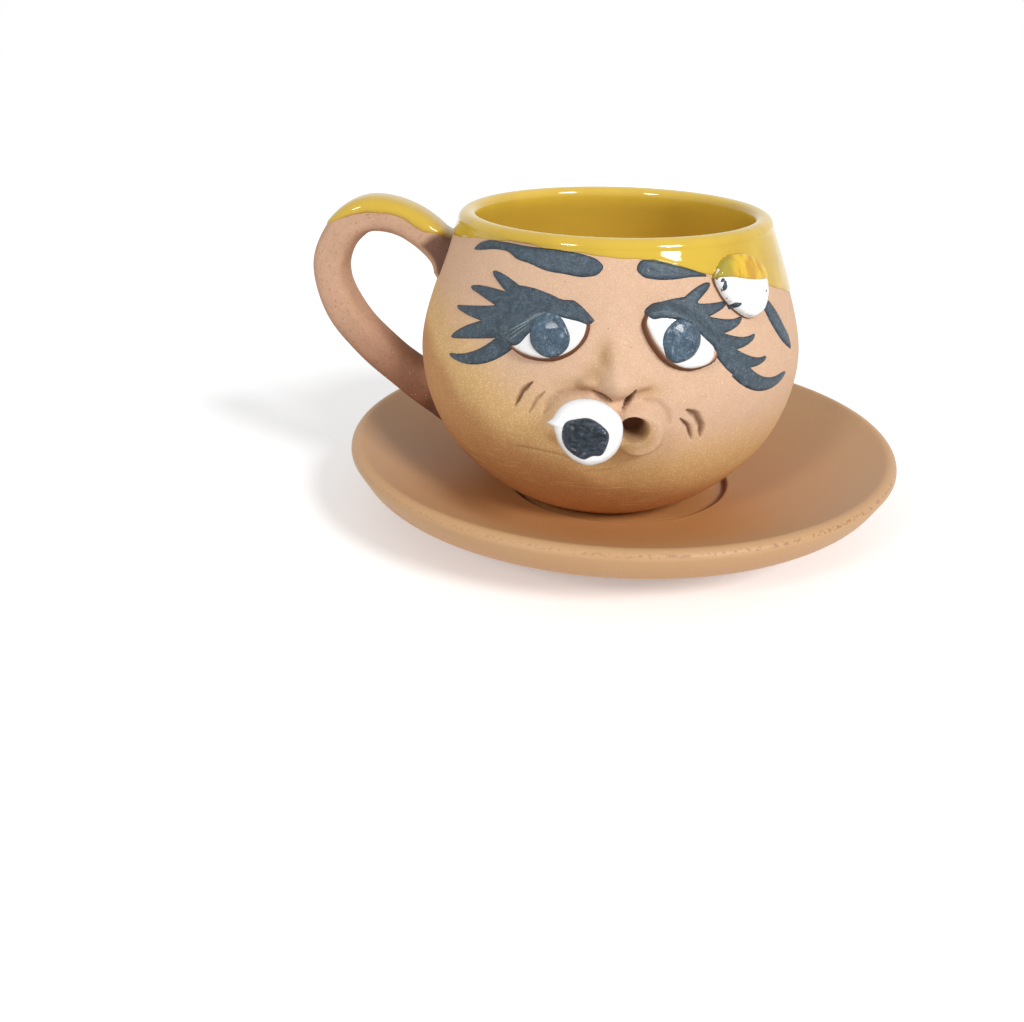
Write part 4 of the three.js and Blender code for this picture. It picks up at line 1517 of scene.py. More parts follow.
    def mesh(self) -> Mesh:
        """The strap's closed mesh, with painted shade where its lower end joins the wall and burnt clay at
        its upper root.
        """
        length, girth, root, deep = self.length(), self.girth_radius(), self.root_length, self.PULL_DEPTH
        around = np.linspace(-math.pi, math.pi, self.SIDES, endpoint=False) * girth
        rings, hollow, gone = [], [], []
        for along in np.concatenate([
            steps_between(0.0, root, self.ROOT_STEP), steps_between(root, length - root, self.STEP),
            steps_between(length - root, length, self.ROOT_STEP), [length],
        ]):
            here = np.full(self.SIDES, along)
            pull = deep * np.sin(along / self.PULL_LENGTH) + deep * np.sin(along / self.TWIST_LENGTH + around)
            # Painted shade in the corner where the lower end joins the wall.
            corner = self.CORNER_TONE * (1 - ease(*self.CORNER_REACH, length - along))
            rings.append(self.place(here, around, pull))
            gone.append(here)
            hollow.append(np.maximum(corner, self.burnt(here, around)))
        path = self.path()
        rings.insert(0, self._rooted(rings[0], path[0] - path[1]))
        # In the wall the lower end turns back and is closed on the strap's own last ring
        rings.insert(-1, self._rooted(rings[-1], path[-1] - path[-2]))
        hollow = [hollow[0], *hollow, hollow[-1]]
        gone = [gone[0], *gone, gone[-1]]
        points, faces = closed_rings(rings, (rings[0].mean(0), rings[-1].mean(0)))
        ends = np.zeros(2)
        angle = np.tile(around / girth, len(rings))
        return build_mesh(
            "handle_strap", points, faces, hollow=np.concatenate([*hollow, ends]),
            along=np.concatenate([*gone, ends]),
            outward=np.concatenate([girth * np.cos(angle), ends]),
            frontward=np.concatenate([girth * np.sin(angle), ends]),
        )

    def _rooted(self, ring: Array, step: Array) -> Array:
        """Moves an end ring on along the strap until every point is inside the wall.

        Args:
            ring: The strap's end ring.
            step: The strap's direction there, as (reach, height).

        Returns:
            The moved ring.
        """
        way = np.array([-step[0], 0.0, step[1]]) / np.linalg.norm(step)
        moved = ring.copy()
        for _ in range(self.ROOT_PASSES):
            level = moved[:, 2] - self.wall.base
            reach = np.hypot(moved[:, 0] - self.wall.middle_x, moved[:, 1])
            steep = np.hypot(1, self.wall.slope(level))
            outside = (reach - self.wall.radius(level)) / steep + self.root_depth
            moved += np.maximum(outside, 0.0)[:, None] * way
        return moved

    def glaze(self) -> Coat:
        """The glaze on the outer side of the arch, which ran down on to the root's front."""
        front = (
            (3.4, 1.8), (5.2, 3.8), (7.4, 5.5), (9.2, 5.7), (12.0, 5.4), (17.0, 5.6), (21.0, 5.2),
            (24.6, 3.2),
        )
        back = tuple((along, -around) for along, around in reversed(front))
        return Coat((Outline(((2.6, 0.0), *front, (26.2, 0.0), *back)),), thick=0.32, edge=0.9, spacing=0.4)

    @classmethod
    def burnt(cls, along: Array, around: Array) -> Array:
        """How dark the front of the root is burnt, where the glaze ran thin, from 0 to 1."""
        near = 1 - ease(*cls.BURN_END, along - cls.BURN_LEAN * (around - cls.BURN_MIDDLE))
        return cls.BURN_TONE * near * ease(*cls.BURN_TOP, around) * (1 - ease(*cls.BURN_FRONT, around))


# The painted eyes, brows and disc


def painted(*shapes: Outline | Stroke) -> Coat:
    """A coat of dark slip laid on with a brush."""
    return Coat(shapes, thick=0.24, edge=0.5, spacing=0.33)


@dataclass(frozen=True)
class Eye:
    """A pellet with a whitened top, an iris, and a dark lid whose lashes run out over the wall."""

    side: Side
    pellet: Coat
    white: Coat
    iris: Coat
    lid: Coat
    streaks: Coat | None = None

    @staticmethod
    def _pellet(fade: Fade, *knots: Place) -> Coat:
        """A crowned pellet with painted shade on its side, smoothed into the wall where it fades."""
        return Coat(
            (Outline(knots),), thick=1.1, edge=0.5, crown=0.7, crown_width=3.5, dark_edge=0.95, fade=fade,
        )

    @staticmethod
    def _white(fade: Fade, *knots: Place) -> Coat:
        """The white slip on a pellet."""
        return Coat((Outline(knots),), thick=0.22, edge=0.4, fade=fade)

    @staticmethod
    def _iris(middle: Place, wide: float, tall: float, turn: float) -> Coat:
        """A thick round dab of dark slip, with half its width and height and where it is uneven."""
        return Coat((oval(middle, wide, tall, unevenness=0.03, turn=turn),), thick=0.45, edge=0.9)

    @classmethod
    def left(cls) -> Eye:
        """The eye on the viewer's left."""
        fade = Fade(start=(-13.0, 9.3), way=(0.36, 0.93), reach=3.2)
        pellet = cls._pellet(
            fade, (-19.8, 15.0), (-18.9, 16.9), (-15.9, 18.8), (-12.0, 19.3), (-8.4, 18.7), (-5.6, 17.0),
            (-3.9, 14.7), (-3.6, 12.6), (-5.6, 10.6), (-10.0, 9.5), (-14.8, 10.2), (-18.3, 12.3),
        )
        white = cls._white(
            fade, (-18.8, 15.6), (-17.0, 17.4), (-13.9, 18.5), (-10.9, 18.7), (-8.1, 18.0), (-5.4, 16.2),
            (-4.2, 14.0), (-4.1, 12.6), (-6.0, 11.2), (-10.0, 10.4), (-14.5, 11.2), (-17.6, 13.2),
        )
        lid = painted(
            Outline((
                (-2.8, 12.2), (-3.9, 12.9), (-5.2, 12.6), (-7.3, 12.3), (-8.8, 12.1), (-10.3, 12.5),
                (-12.1, 13.8), (-13.7, 15.5), (-16.0, 17.4), (-17.9, 17.4), (-19.6, 16.2), (-20.7, 14.0),
                (-19.8, 11.0), (-17.4, 8.2), (-14.6, 8.0), (-10.5, 8.7), (-8.4, 9.3), (-6.5, 9.3),
                (-4.5, 10.6),
            ), corners=(0,)),
            Stroke((-15.4, 10.0), (-19.8, 7.9), (-22.9, 6.7), (2.6, 2.1, 0.5)),
            Stroke((-17.5, 11.2), (-24.0, 10.2), (-28.5, 10.1), (3.4, 2.0, 0.5)),
            Stroke((-18.0, 13.0), (-26.2, 13.7), (-32.2, 13.9), (3.6, 2.1, 0.5)),
            Stroke((-18.0, 14.6), (-26.6, 16.8), (-33.0, 19.1), (3.4, 2.5, 0.5)),
            Stroke((-18.0, 16.4), (-25.0, 20.8), (-33.3, 22.1), (3.4, 2.4, 0.6)),
        )
        streaks = Coat((
            Stroke((-10.7, 11.6), (-14.3, 13.7), (-18.4, 16.1), (0.05, 0.12, 0.05)),
            Stroke((-13.3, 13.4), (-15.3, 14.8), (-17.9, 16.5), (0.05, 0.08, 0.05)),
            Stroke((-13.6, 14.2), (-15.1, 15.3), (-17.4, 16.9), (0.05, 0.1, 0.05)),
            Stroke((-11.6, 11.8), (-12.7, 12.5), (-14.2, 13.3), (0.05, 0.08, 0.05)),
        ), thick=0.03, edge=0.05, spacing=0.12)
        iris = cls._iris((-10.0, 15.1), wide=3.35, tall=3.5, turn=0.4)
        return cls(Side.LEFT, pellet, white, iris, lid, streaks)

    @classmethod
    def right(cls) -> Eye:
        """The eye on the viewer's right."""
        fade = Fade(start=(13.5, 10.3), way=(-0.54, 0.84), reach=2.4)
        pellet = cls._pellet(
            fade, (4.9, 12.5), (5.6, 14.5), (7.0, 16.6), (9.2, 18.8), (12.4, 20.1), (16.1, 20.0),
            (18.4, 19.0), (18.8, 17.0), (17.2, 13.9), (14.4, 11.2), (10.4, 9.6), (6.6, 9.9),
        )
        white = cls._white(
            fade, (5.6, 12.2), (6.4, 14.2), (7.8, 16.2), (9.6, 18.2), (12.0, 19.5), (14.8, 19.7),
            (17.2, 18.9), (17.6, 16.8), (15.8, 13.8), (13.0, 11.6), (9.4, 10.4), (6.2, 10.7),
        )
        lid = painted(
            Outline((
                (5.3, 10.6), (6.2, 9.6), (8.4, 9.1), (11.0, 8.7), (13.4, 8.7), (15.8, 10.7), (18.6, 13.6),
                (21.4, 16.6), (24.4, 19.4), (26.6, 21.6), (26.6, 23.5), (24.4, 22.9), (21.4, 21.0),
                (18.9, 18.6), (17.0, 16.6), (15.4, 15.3), (13.9, 14.0), (12.6, 12.9), (11.3, 12.4),
                (9.4, 12.0), (8.1, 11.8), (6.4, 11.9),
            )),
            Stroke((12.0, 10.3), (14.7, 8.2), (17.2, 6.9), (2.4, 2.0, 0.8)),
            Stroke((13.6, 11.2), (17.5, 10.9), (20.8, 10.2), (3.0, 1.9, 0.8)),
            Stroke((16.2, 13.4), (21.4, 13.8), (24.4, 12.9), (3.2, 1.9, 0.8)),
            Stroke((19.2, 16.2), (24.6, 16.9), (27.9, 16.1), (3.2, 1.7, 0.8)),
            Stroke((22.4, 19.2), (27.8, 20.6), (31.3, 20.3), (3.2, 1.6, 0.8)),
            Stroke((23.6, 20.8), (30.6, 24.9), (38.9, 24.6), (3.6, 2.5, 1.2)),
        )
        iris = cls._iris((11.4, 15.4), wide=3.2, tall=3.35, turn=1.9)
        return cls(Side.RIGHT, pellet, white, iris, lid)


class Brows:
    """The three brow strokes, whose upper edges are under the glaze."""

    def __init__(self) -> None:
        """Lays the strokes out."""
        self.left = painted(Outline((
            (-29.4, 4.3), (-27.6, 3.0), (-25.0, 2.1), (-21.0, 1.8), (-15.0, 1.8), (-9.0, 1.8), (-5.0, 2.2),
            (-2.5, 3.1), (-1.8, 3.9), (-2.5, 5.0), (-4.6, 5.6), (-8.5, 5.4), (-11.5, 5.2), (-15.0, 4.4),
            (-17.6, 4.0), (-19.2, 3.3), (-23.0, 3.3), (-26.4, 3.9),
        ), corners=(0,)))
        self.right = painted(Outline((
            (3.7, 4.2), (4.2, 3.0), (5.8, 2.7), (8.6, 3.2), (12.0, 4.1), (17.4, 5.9), (13.4, 5.7), (9.8, 5.9),
            (7.0, 5.8), (4.8, 5.3),
        ), corners=(5,)))
        self.tail = painted(Outline((
            (30.6, 12.2), (32.0, 11.4), (33.9, 12.5), (37.9, 16.2), (40.9, 19.4), (41.7, 21.4), (37.6, 19.2),
            (34.2, 16.4), (31.5, 13.5),
        ), corners=(5,)))


class Disc:
    """The round pellet under the rim, whitened, whose top was caught by the glaze."""

    MIDDLE, COVER = (24.2, 8.2), 0.985
    GREEN_TONE, GREEN_SIDE = 0.9, (19.0, 21.6)

    def __init__(self) -> None:
        """Lays the pellet and its coats out."""
        edge = (
            (17.4, 6.0), (19.0, 3.7), (22.8, 3.0), (26.6, 4.3), (29.9, 6.9), (30.7, 10.1), (29.1, 12.8),
            (26.2, 13.4), (21.8, 11.4), (18.8, 8.7),
        )
        whitened = tuple(
            tuple(middle + self.COVER * (at - middle) for at, middle in zip(knot, self.MIDDLE))
            for knot in edge
        )
        # The pellet's side is darkened as painted shade.
        self.pellet = Coat(
            (Outline(edge),), thick=1.3, edge=0.6, crown=0.5, crown_width=3.0, dark_edge=0.8,
        )
        self.white = Coat((Outline(whitened),), thick=0.22, edge=0.35)
        self.smudges = Coat((
            oval((19.0, 7.7), wide=0.42, tall=0.75, unevenness=0.12, turn=0.3),
            oval((18.5, 6.8), wide=0.4, tall=0.3, unevenness=0.1, turn=1.1),
            oval((21.7, 10.9), wide=0.95, tall=0.4, unevenness=0.12, turn=2.0),
            oval((29.2, 9.8), wide=0.22, tall=0.18, unevenness=0.1, turn=0.0),
        ), thick=0.06, edge=0.2, spacing=0.2)
        self.glaze = Coat((Outline((
            (17.2, 6.3), (18.8, 3.3), (22.8, 2.6), (26.9, 3.9), (30.3, 6.6), (30.8, 8.0), (27.4, 7.8),
            (23.4, 7.2), (20.2, 6.5),
        ), corners=(0, 5)),), thick=0.3, edge=0.45)

    @classmethod
    def green(cls, across: Array, drop: Array) -> Array:
        """Where the glaze on the disc is greenish and dark, at its left: partly the glaze over the end of the
        brow, partly a painted reflection.
        """
        return cls.GREEN_TONE * (1 - ease(*cls.GREEN_SIDE, across))


@dataclass(frozen=True)
class Peg:
    """The fat cigarette stuck in the mouth, with a thick white end and dark ash on it."""

    SIDES, SHANK_RINGS, OUTLINE_STEP = 96, 16, 0.2
    FRONT_SHARES = (1.0, 0.995, 0.98, 0.955, 0.92, 0.87, 0.81, 0.75, 0.6, 0.4, 0.2)
    FLARE, DENT, DENT_TWIST = (0.35, 0.95), 0.1, 0.5

    wall: Wall
    across: float = -3.2
    drop: float = 30.4
    radius: float = 5.2
    length: float = 11.0
    lift: float = 19.0
    side: float = -2.0
    rounding: float = 1.3
    dome: float = 0.5
    buried: float = 1.2
    front: Outline = Outline((
        (6.0, 0.2), (5.1, 3.0), (3.2, 4.7), (0.6, 5.4), (-2.1, 4.4), (-4.1, 2.2), (-5.1, 0.0), (-5.5, -0.9),
        (-6.7, -1.2), (-5.6, -1.9), (-5.0, -3.0), (-3.7, -4.4), (-0.1, -5.4), (3.2, -4.6), (5.6, -2.4),
    ), corners=(8,))
    ash: Outline = Outline((
        (-3.3, -1.4), (-1.4, -2.1), (0.4, -2.3), (2.0, -1.6), (3.8, 0.2), (3.6, 2.0), (2.7, 3.6), (1.3, 3.8),
        (0.1, 4.4), (-1.6, 3.8), (-3.3, 2.3), (-3.8, 0.2),
    ))

    def axes(self) -> tuple[Array, Array, Array, Array]:
        """The peg's foot on the wall, its direction, and its own right and down."""
        foot = self.wall.place(self.across, self.drop, 0.0)
        lift, side = math.radians(self.lift), math.radians(self.side)
        way = np.array([math.sin(side) * math.cos(lift), -math.cos(side) * math.cos(lift), math.sin(lift)])
        right = np.array([math.cos(side), math.sin(side), 0.0])
        return foot, way, right, np.cross(right, way)

    def front_radius(self, angle: Array) -> Array:
        """Radius of the front's uneven outline at angles from the right towards down."""
        loop = self.front.loop(self.OUTLINE_STEP)
        turns = np.arctan2(loop[:, 1], loop[:, 0])
        order = np.argsort(turns)
        return np.interp(angle, turns[order], np.hypot(loop[:, 0], loop[:, 1])[order], period=2 * math.pi)

    def front_level(self, share: Array) -> Array:
        """How far along the peg its front is, at a share of the way from the middle to the edge."""
        flat = 1 - self.rounding / self.radius
        beyond = np.clip((share - flat) / (1 - flat), 0.0, 1.0)
        fall = self.rounding * (1 - np.sqrt(1 - beyond**2))
        return self.length - self.dome * share**2 - fall

    def spot(self, along: Array, across: Array, drop: Array) -> Array:
        """Points at distances along the peg and to its own right and down."""
        foot, *axes = self.axes()
        steps = zip((along, across, drop), axes)
        return sum((np.multiply.outer(size, axis) for size, axis in steps), foot)

    def place(self, across: Array, drop: Array, lift: Array) -> Array:
        """Points on the peg's front, lifted off it."""
        share = np.hypot(across, drop) / self.front_radius(np.arctan2(drop, across))
        return self.spot(self.front_level(share) + lift, across, drop)

    def mesh(self) -> Mesh:
        """The peg's closed mesh."""
        angle = np.linspace(0.0, 2 * math.pi, self.SIDES, endpoint=False)
        front = self.front_radius(angle)
        edge = self.front_level(1.0)
        rings = []
        for along in (-self.buried, *np.linspace(0.0, edge, self.SHANK_RINGS)[:-1]):
            dent = self.DENT * np.sin(2 * angle + self.DENT_TWIST * along)
            flare = (front - self.radius) * ease(*self.FLARE, along / edge)
            rings.append((along, self.radius + dent + flare))
        rings += [(self.front_level(share), front * share) for share in self.FRONT_SHARES]
        solid = [
            self.spot(np.full(self.SIDES, along), reach * np.cos(angle), reach * np.sin(angle))
            for along, reach in rings
        ]
        foot, way, *_ = self.axes()
        points, faces = closed_rings(solid, (foot - self.buried * way, foot + self.length * way))
        return build_mesh("cigarette_peg", points, faces)

    def tip(self) -> Coat:
        """The dark paint on its front."""
        return Coat((self.ash,), thick=0.45, edge=0.8, spacing=0.3)


# The saucer, spun by a node tree


@dataclass(frozen=True)
class Saucer:
    """A thrown saucer with a rolled rim, a gently rising dish and a well for the cup's foot."""

    BASE_STEPS, RIM_STEPS, DISH_STEPS, WELL_STEPS, CORNER_STEPS = 12, 14, 40, 14, 7
    BASE_CUT, SKIRT_CUT, STEP_CUT, WELL_CUT = 1.2, 2.2, 0.35, 0.5
    BASE_MARGIN, WELL_MARGIN = 2.5, 2.0
    DRIFT_SIZE, DRIFT_SHARE, SMOOTH_BASE, MERGING = 22.0, 5.0, 0.5, 0.001
    CHIP_IN, CHIP_DOWN, CHIP_REACH, LEAST_WORN = 0.3, 0.5, (0.15, 0.5), 0.3
    STEP_OUT, STEP_WIDTH, STEP_TONE, UNDERSIDE = 0.2, 0.5, 0.55, 1.0

    radius: float
    height: float
    base_radius: float = 30.0
    rim: float = 1.6
    rim_roll: float = 120.0
    skirt: float = 6.6
    skirt_in: float = 2.9
    dish_floor: float = 4.8
    dish_curve: float = 1.6
    well_depth: float = 1.2
    well_radius: float = 22.2
    well_round: float = 0.8
    turn_steps: int = 240
    ripple: float = 0.012
    ripple_pitch: float = 2.6
    worn_turn: float = -48.0
    worn_spread: float = 42.0
    seed: int = 7

    @classmethod
    def from_frame(cls) -> Saucer:
        """Takes the saucer's outer sizes from its node."""
        low, high = (np.array(corner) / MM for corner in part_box("saucer"))
        return cls(radius=float(high[0] - low[0]) / 2, height=float(high[2] - low[2]))

    def profile(self) -> Array:
        """The half section as (radius, height), from the middle of the base to the middle of the well."""
        crown = self.height - self.rim
        middle = self.radius - self.rim
        turn = np.linspace(0.0, math.radians(self.rim_roll), self.RIM_STEPS)
        rim = np.stack([middle + self.rim * np.cos(turn), crown + self.rim * np.sin(turn)], 1)
        (dish_edge, dish_top), well_edge = rim[-1], self.well_radius + self.well_round
        share = np.linspace(1.0, 0.0, self.DISH_STEPS)[1:]
        dish = np.stack([
            well_edge + (dish_edge - well_edge) * share,
            self.dish_floor + (dish_top - self.dish_floor) * share**self.dish_curve,
        ], 1)
        skirt = np.array([self.radius - self.skirt_in, self.height - self.skirt])
        well = self.dish_floor - self.well_depth
        base, base_edge = np.array([0.0, 0.0]), np.array([self.base_radius, 0.0])
        well_foot, well_middle = np.array([self.well_radius, well]), np.array([0.0, well])
        flat = np.linspace(0.0, self.base_radius - self.BASE_MARGIN, self.BASE_STEPS)
        inner = np.linspace(self.well_radius - self.WELL_MARGIN, 0.0, self.WELL_STEPS)
        return np.concatenate([
            [(reach, 0.0) for reach in flat],
            self._corner(base, base_edge, skirt, self.BASE_CUT),
            self._corner(base_edge, skirt, rim[0], self.SKIRT_CUT),
            rim,
            dish[:-1],
            self._corner(dish[-2], dish[-1], well_foot, self.STEP_CUT),
            self._corner(dish[-1], well_foot, well_middle, self.WELL_CUT),
            [(reach, well) for reach in inner],
        ])

    @classmethod
    def _corner(cls, before: Array, corner: Array, after: Array, cut: float) -> Array:
        """A rounded corner: a curve from cut before it to cut after it."""
        start = corner + (before - corner) / np.linalg.norm(before - corner) * cut
        end = corner + (after - corner) / np.linalg.norm(after - corner) * cut
        t = np.linspace(0.0, 1.0, cls.CORNER_STEPS)[:, None]
        return curve(start, corner, end, t)

    def tree(self) -> bpy.types.GeometryNodeTree:
        """A node tree that spins a section, given as a line of points, round the Z axis."""
        group = bpy.data.node_groups.new("spun_clay", "GeometryNodeTree")
        kinds = {
            "Section": "Geometry", "Turn Steps": "Int", "Ripple": "Float", "Ripple Pitch": "Float",
            "Seed": "Int", "Finish": "Material",
        }
        for name, kind in kinds.items():
            group.interface.new_socket(name, in_out="INPUT", socket_type=f"NodeSocket{kind}")
        group.interface.new_socket("Geometry", in_out="OUTPUT", socket_type="NodeSocketGeometry")
        tree = Tree(group)
        section, steps, ripple, pitch, seed, finish = (
            tree.node("NodeGroupInput", {}, {}, name) for name in kinds
        )
        count = tree.node("GeometryNodeAttributeDomainSize", {}, {"Geometry": section}, "Point Count")
        grid = tree.node("GeometryNodeMeshGrid", {}, {
            "Size X": 1.0, "Size Y": 1.0, "Vertices X": count, "Vertices Y": steps + 1.0,
        })
        position = tree.node("GeometryNodeInputPosition", {}, {})
        along, around = (
            tree.node("ShaderNodeSeparateXYZ", {}, {"Vector": position}, axis) + 0.5 for axis in "XY"
        )
        turn = around * (2 * math.pi)
        point = tree.node("GeometryNodeSampleIndex", {"data_type": "FLOAT_VECTOR"}, {
            "Geometry": section, "Value": position, "Index": (along * (count - 1.0)).math("ROUND"),
        })
        reach, level = (tree.node("ShaderNodeSeparateXYZ", {}, {"Vector": point}, axis) for axis in "XZ")
        x, y = reach * turn.math("COSINE"), reach * turn.math("SINE")
        even = tree.node("ShaderNodeCombineXYZ", {}, {"X": x, "Y": y, "Z": level})
        drift = tree.node("ShaderNodeTexNoise", {"noise_dimensions": "4D"}, {
            "Vector": even, "W": seed, "Scale": 1 / (self.DRIFT_SIZE * MM), "Detail": 1.0,
        })
        phase = (reach * (2 * math.pi)).math("DIVIDE", pitch) + drift * self.DRIFT_SHARE
        wave = phase.math("SINE") * ripple * (level > self.SMOOTH_BASE * MM)
        moved = tree.node("ShaderNodeCombineXYZ", {}, {"X": x, "Y": y, "Z": level + wave})
        dish = tree.node("GeometryNodeSetPosition", {}, {"Geometry": grid, "Position": moved})
        merging = {"Geometry": dish, "Distance": self.MERGING * MM}
        dish = tree.node("GeometryNodeMergeByDistance", {}, merging)
        dish = tree.node("GeometryNodeRealizeInstances", {}, {"Geometry": dish})
        dish = tree.node("GeometryNodeSetMaterial", {}, {"Geometry": dish, "Material": finish})
        tree.node("NodeGroupOutput", {}, {"Geometry": dish}, None)
        return group

    def mesh(self, finish: Material) -> Mesh:
        """Spins the section with the node tree.

        Args:
            finish: The saucer's material.

        Returns:
            The plain mesh, with the wear of its rim stored as edge and painted shade along the well's step as
            hollow.
        """
        section = self.profile()
        points = np.stack([section[:, 0], 0 * section[:, 0], section[:, 1]], 1) * MM
        line = bpy.data.meshes.new("saucer_section")
        line.from_pydata(points.tolist(), [(i, i + 1) for i in range(len(points) - 1)], [])
        holder = add_object("saucer_section", line)
        spin = holder.modifiers.new("spin", "NODES")
        tree = self.tree()
        spin.node_group = tree
        sizes = {
            "Turn Steps": self.turn_steps, "Ripple": self.ripple * MM, "Ripple Pitch": self.ripple_pitch * MM,
            "Seed": self.seed, "Finish": finish,
        }
        for item in tree.interface.items_tree:
            if item.in_out == "INPUT" and item.name in sizes:
                spin[item.identifier] = sizes[item.name]
        shape = holder.evaluated_get(bpy.context.evaluated_depsgraph_get())
        mesh = bpy.data.meshes.new_from_object(shape)
        holder.modifiers.remove(spin)
        bpy.data.objects.remove(holder)
        places = np.array([tuple(v.co) for v in mesh.vertices]) / MM
        faces = [tuple(face.vertices) for face in mesh.polygons]
        reach, level = np.hypot(places[:, 0], places[:, 1]), places[:, 2]
        inward = reach - (self.radius - self.CHIP_IN * self.rim)
        upward = level - (self.height - self.CHIP_DOWN * self.rim)
        chipped = 1 - ease(*self.CHIP_REACH, np.hypot(inward, upward))
        turn = np.degrees(np.arctan2(places[:, 1], places[:, 0]))
        used = np.exp(-(((turn - self.worn_turn) / self.worn_spread) ** 2))
        edge = (self.LEAST_WORN + (1 - self.LEAST_WORN) * used) * chipped
        # Painted shade along the step down into the well.
        aside = (reach - self.well_radius - self.STEP_OUT) / self.STEP_WIDTH
        step = np.exp(-(aside**2)) * (level > self.UNDERSIDE)
        return build_mesh("saucer_dish", places, faces, edge=edge, hollow=self.STEP_TONE * step)


# The assemblies


class CupSet:
    """The whole set: the saucer, and the cup with everything on it."""

    def __init__(self, finishes: Finishes) -> None:
        """Takes the finishes and lays the parts out from the frame."""
        self.finishes = finishes
        self.wall = Wall.from_frame()
        self.face = Face()
        self.eyes = (Eye.left(), Eye.right())
        self.brows = Brows()
        self.disc = Disc()
        self.peg = Peg(self.wall)
        self.strap = Strap(self.wall)
        self.saucer = Saucer.from_frame()

    def ground(self, *coats: Coat) -> Ground:
        """How far the modelled wall, with coats on it, stands off the round wall."""
        def standing(across: Array, drop: Array) -> Array:
            """Adds the heights up at places."""
            return self.face.lift(across, drop) + sum(coat.height(across, drop) for coat in coats)
        return standing

    def build_saucer(self) -> None:
        """Makes the saucer."""
        mesh = self.saucer.mesh(self.finishes.plate)
        add_piece(mesh, self.finishes.plate, Slot.SAUCER_CLAY, "saucer", body=Body.SAUCER)

    def build_clay(self) -> None:
        """Makes the wall with its face, and the handle."""
        wall = ClayBody(self.wall, self.face).mesh()
        add_piece(wall, self.finishes.clay, Slot.TERRACOTTA, "cup_body", "nose", "lips")
        add_piece(self.strap.mesh(), self.finishes.handle, Slot.TERRACOTTA, "handle")

    def build_glaze(self) -> None:
        """Makes the glaze on the cup and on the handle."""
        lining = GlazeLining(self.wall, Dip(), (self.brows.left, self.brows.right)).mesh()
        add_piece(lining, self.finishes.glaze, Slot.HONEY_GLAZE, "glaze_lining")
        strap = self.strap
        top = strap.glaze().mesh("handle_glaze_coat", strap, lambda along, around: 0 * along, strap.burnt)
        add_piece(top, self.finishes.handle_glaze, Slot.HONEY_GLAZE, "handle_glaze")

    def build_eyes(self) -> None:
        """Makes both eyes."""
        looks = self.finishes
        for eye in self.eyes:
            side = eye.side.value
            node, below = f"{side}_eye", (eye.pellet, eye.white)
            self._coat(f"{node}_pellet", eye.pellet, (), looks.clay, Slot.TERRACOTTA, node)
            self._coat(f"{node}_white", eye.white, (eye.pellet,), looks.white, Slot.WHITE_SLIP, node)
            self._coat(f"{node}_iris", eye.iris, below, looks.iris, Slot.DARK_SLIP, f"{side}_iris")
            lid_nodes = (f"{side}_eyelid", f"{side}_lashes")
            self._coat(f"{side}_lid_and_lashes", eye.lid, below, looks.dark, Slot.DARK_SLIP, *lid_nodes)
            if eye.streaks:
                below = (*below, eye.lid)
                self._coat(f"{node}_streaks", eye.streaks, below, looks.wash, Slot.WHITE_SLIP, node)

    def build_brows(self) -> None:
        """Makes the brows."""
        brows = self.brows
        strokes = {"left_brow": brows.left, "right_brow": brows.right, "right_brow_tail": brows.tail}
        for node, coat in strokes.items():
            self._coat(f"{node}_stroke", coat, (), self.finishes.dark, Slot.DARK_SLIP, node)

    def build_disc(self) -> None:
        """Makes the disc under the rim."""
        disc, looks, node = self.disc, self.finishes, "forehead_disc"
        below = (disc.pellet, disc.white)
        self._coat("disc_pellet", disc.pellet, (), looks.clay, Slot.TERRACOTTA, node)
        self._coat("disc_white", disc.white, (disc.pellet,), looks.white, Slot.WHITE_SLIP, node)
        self._coat("disc_smudges", disc.smudges, below, looks.dark, Slot.DARK_SLIP, node)
        self._coat(
            "disc_glaze_coat", disc.glaze, below, looks.disc_glaze, Slot.HONEY_GLAZE, "disc_glaze",
            marks=disc.green,
        )

    def build_peg(self) -> None:
        """Makes the cigarette and its dark end."""
        add_piece(self.peg.mesh(), self.finishes.white, Slot.WHITE_SLIP, "cigarette")
        tip = self.peg.tip().mesh("cigarette_end", self.peg, lambda across, drop: 0 * across)
        add_piece(tip, self.finishes.tip, Slot.DARK_SLIP, "cigarette_tip")

    def build(self) -> None:
        """Makes every piece."""
        self.build_saucer()
        self.build_clay()
        self.build_glaze()
        self.build_eyes()
        self.build_brows()
        self.build_disc()
        self.build_peg()

    def _coat(
        self, name: str, coat: Coat, below: Sequence[Coat], material: Material, slot: Slot, *nodes: str,
        marks: Ground | None = None,
    ) -> None:
        """Lays a coat over other coats on the cup's wall and adds it as a piece."""
        add_piece(coat.mesh(name, self.wall, self.ground(*below), marks), material, slot, *nodes)


# Floor, light and camera


@dataclass(frozen=True)
class Lamp:
    """A soft light from far away.

    Its turn to the viewer's right of the front, its height above the table and its spread are in degrees.
    """

    name: str
    turn: float
    height: float
    strength: float
    spread: float

    def build(self) -> None:
        """Puts the light into the scene."""
        light = bpy.data.lights.new(self.name, "SUN")
        light.energy = self.strength
        light.angle = math.radians(self.spread)
        lamp = add_object(self.name, light)
        lamp.rotation_euler = (math.radians(90.0 - self.height), 0.0, math.radians(self.turn))


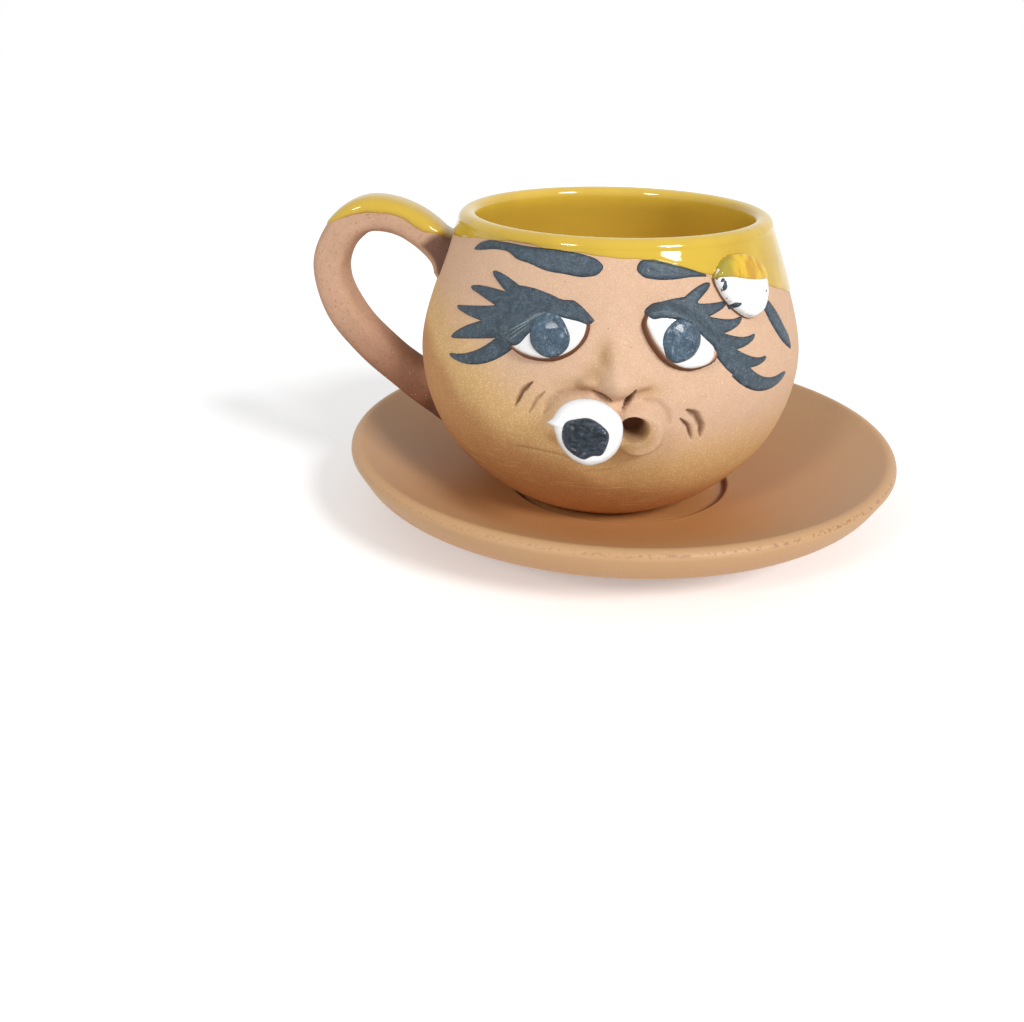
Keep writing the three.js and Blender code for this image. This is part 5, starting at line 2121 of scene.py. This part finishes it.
@dataclass(frozen=True)
class Studio:
    """A pale floor under soft light, seen from the photograph's angle."""

    camera_place: tuple[float, float, float] = (-6.148, -205.82, 93.88)
    pitch: float = 25.61
    yaw: float = 3.99
    roll: float = 2.50
    focal_pixels: float = 1055.4
    image_width: float = 1024.0
    sensor: float = 36.0
    nearest: float = 10.0
    floor_size: float = 4000.0
    floor_colour: Colour = (0.9, 0.9, 0.9)
    floor_glow: Colour = (0.32, 0.32, 0.32)
    floor_grain: float = 0.02
    floor_roughness: float = 0.9
    world_light: float = 0.45
    lamps: tuple[Lamp, ...] = (
        Lamp("right", turn=45.0, height=35.0, strength=1.95, spread=16.0),
        Lamp("left", turn=-34.0, height=32.0, strength=0.72, spread=12.0),
    )

    def build(self) -> None:
        """Makes the floor, the lights, the world and the camera."""
        self._floor()
        self._world()
        for lamp in self.lamps:
            lamp.build()
        self._camera()
        bpy.context.scene.view_settings.view_transform = "Standard"

    def _floor(self) -> None:
        """A large plain floor just under the saucer."""
        half = self.floor_size / 2
        corners = np.array([(-half, -half, 0.0), (half, -half, 0.0), (half, half, 0.0), (-half, half, 0.0)])
        mesh = bpy.data.meshes.new("floor")
        mesh.from_pydata((corners * MM).tolist(), [], [(0, 1, 2, 3)])
        shader = Shader.of_material("floor_paper")
        grain = shader.noise(size=1.5)
        tone = shader.shade(self.floor_colour, 1.0 + grain.swing() * self.floor_grain)
        glow = shader.mix(shader.seen(), (0.0, 0.0, 0.0), self.floor_glow)
        paper = shader.finish(
            tone, self.floor_roughness, shader.bump(grain, depth=0.01),
            Specular_IOR_Level=0.1, Emission_Color=glow, Emission_Strength=1.0,
        )
        mesh.materials.append(paper)
        floor = add_object("floor", mesh)

    def _world(self) -> None:
        """White surroundings that light softly and look white."""
        world = bpy.data.worlds.new("surroundings")
        bpy.context.scene.world = world
        shader = Shader(world)
        strength = self.world_light + shader.seen() * (1.0 - self.world_light)
        white = shader.node("ShaderNodeBackground", {}, {"Color": (1.0, 1.0, 1.0), "Strength": strength})
        shader.node("ShaderNodeOutputWorld", {}, {"Surface": white}, None)

    def _camera(self) -> None:
        """A camera where the photograph was taken from."""
        pitch, yaw, roll = (math.radians(angle) for angle in (self.pitch, self.yaw, self.roll))
        ahead = Matrix(((1.0, 0.0, 0.0), (0.0, 0.0, -1.0), (0.0, 1.0, 0.0)))
        level = Matrix.Rotation(yaw, 3, "Y") @ Matrix.Rotation(pitch, 3, "X") @ ahead
        turned = Matrix.Rotation(roll, 3, "Z") @ level
        axes = Matrix((turned[0], -turned[1], -turned[2])).transposed()
        data = bpy.data.cameras.new("camera")
        data.sensor_width = self.sensor
        data.lens = self.focal_pixels / self.image_width * self.sensor
        data.clip_start = self.nearest * MM
        camera = add_object("camera", data)
        camera.matrix_world = Matrix.Translation(Vector(self.camera_place) * MM) @ axes.to_4x4()
        bpy.context.scene.camera = camera


def main() -> None:
    """Builds the set and its studio."""
    logging.basicConfig(level=logging.INFO, format="%(name)s: %(message)s")
    CupSet(Finishes()).build()
    Studio().build()


if __name__ == "__main__":
    main()
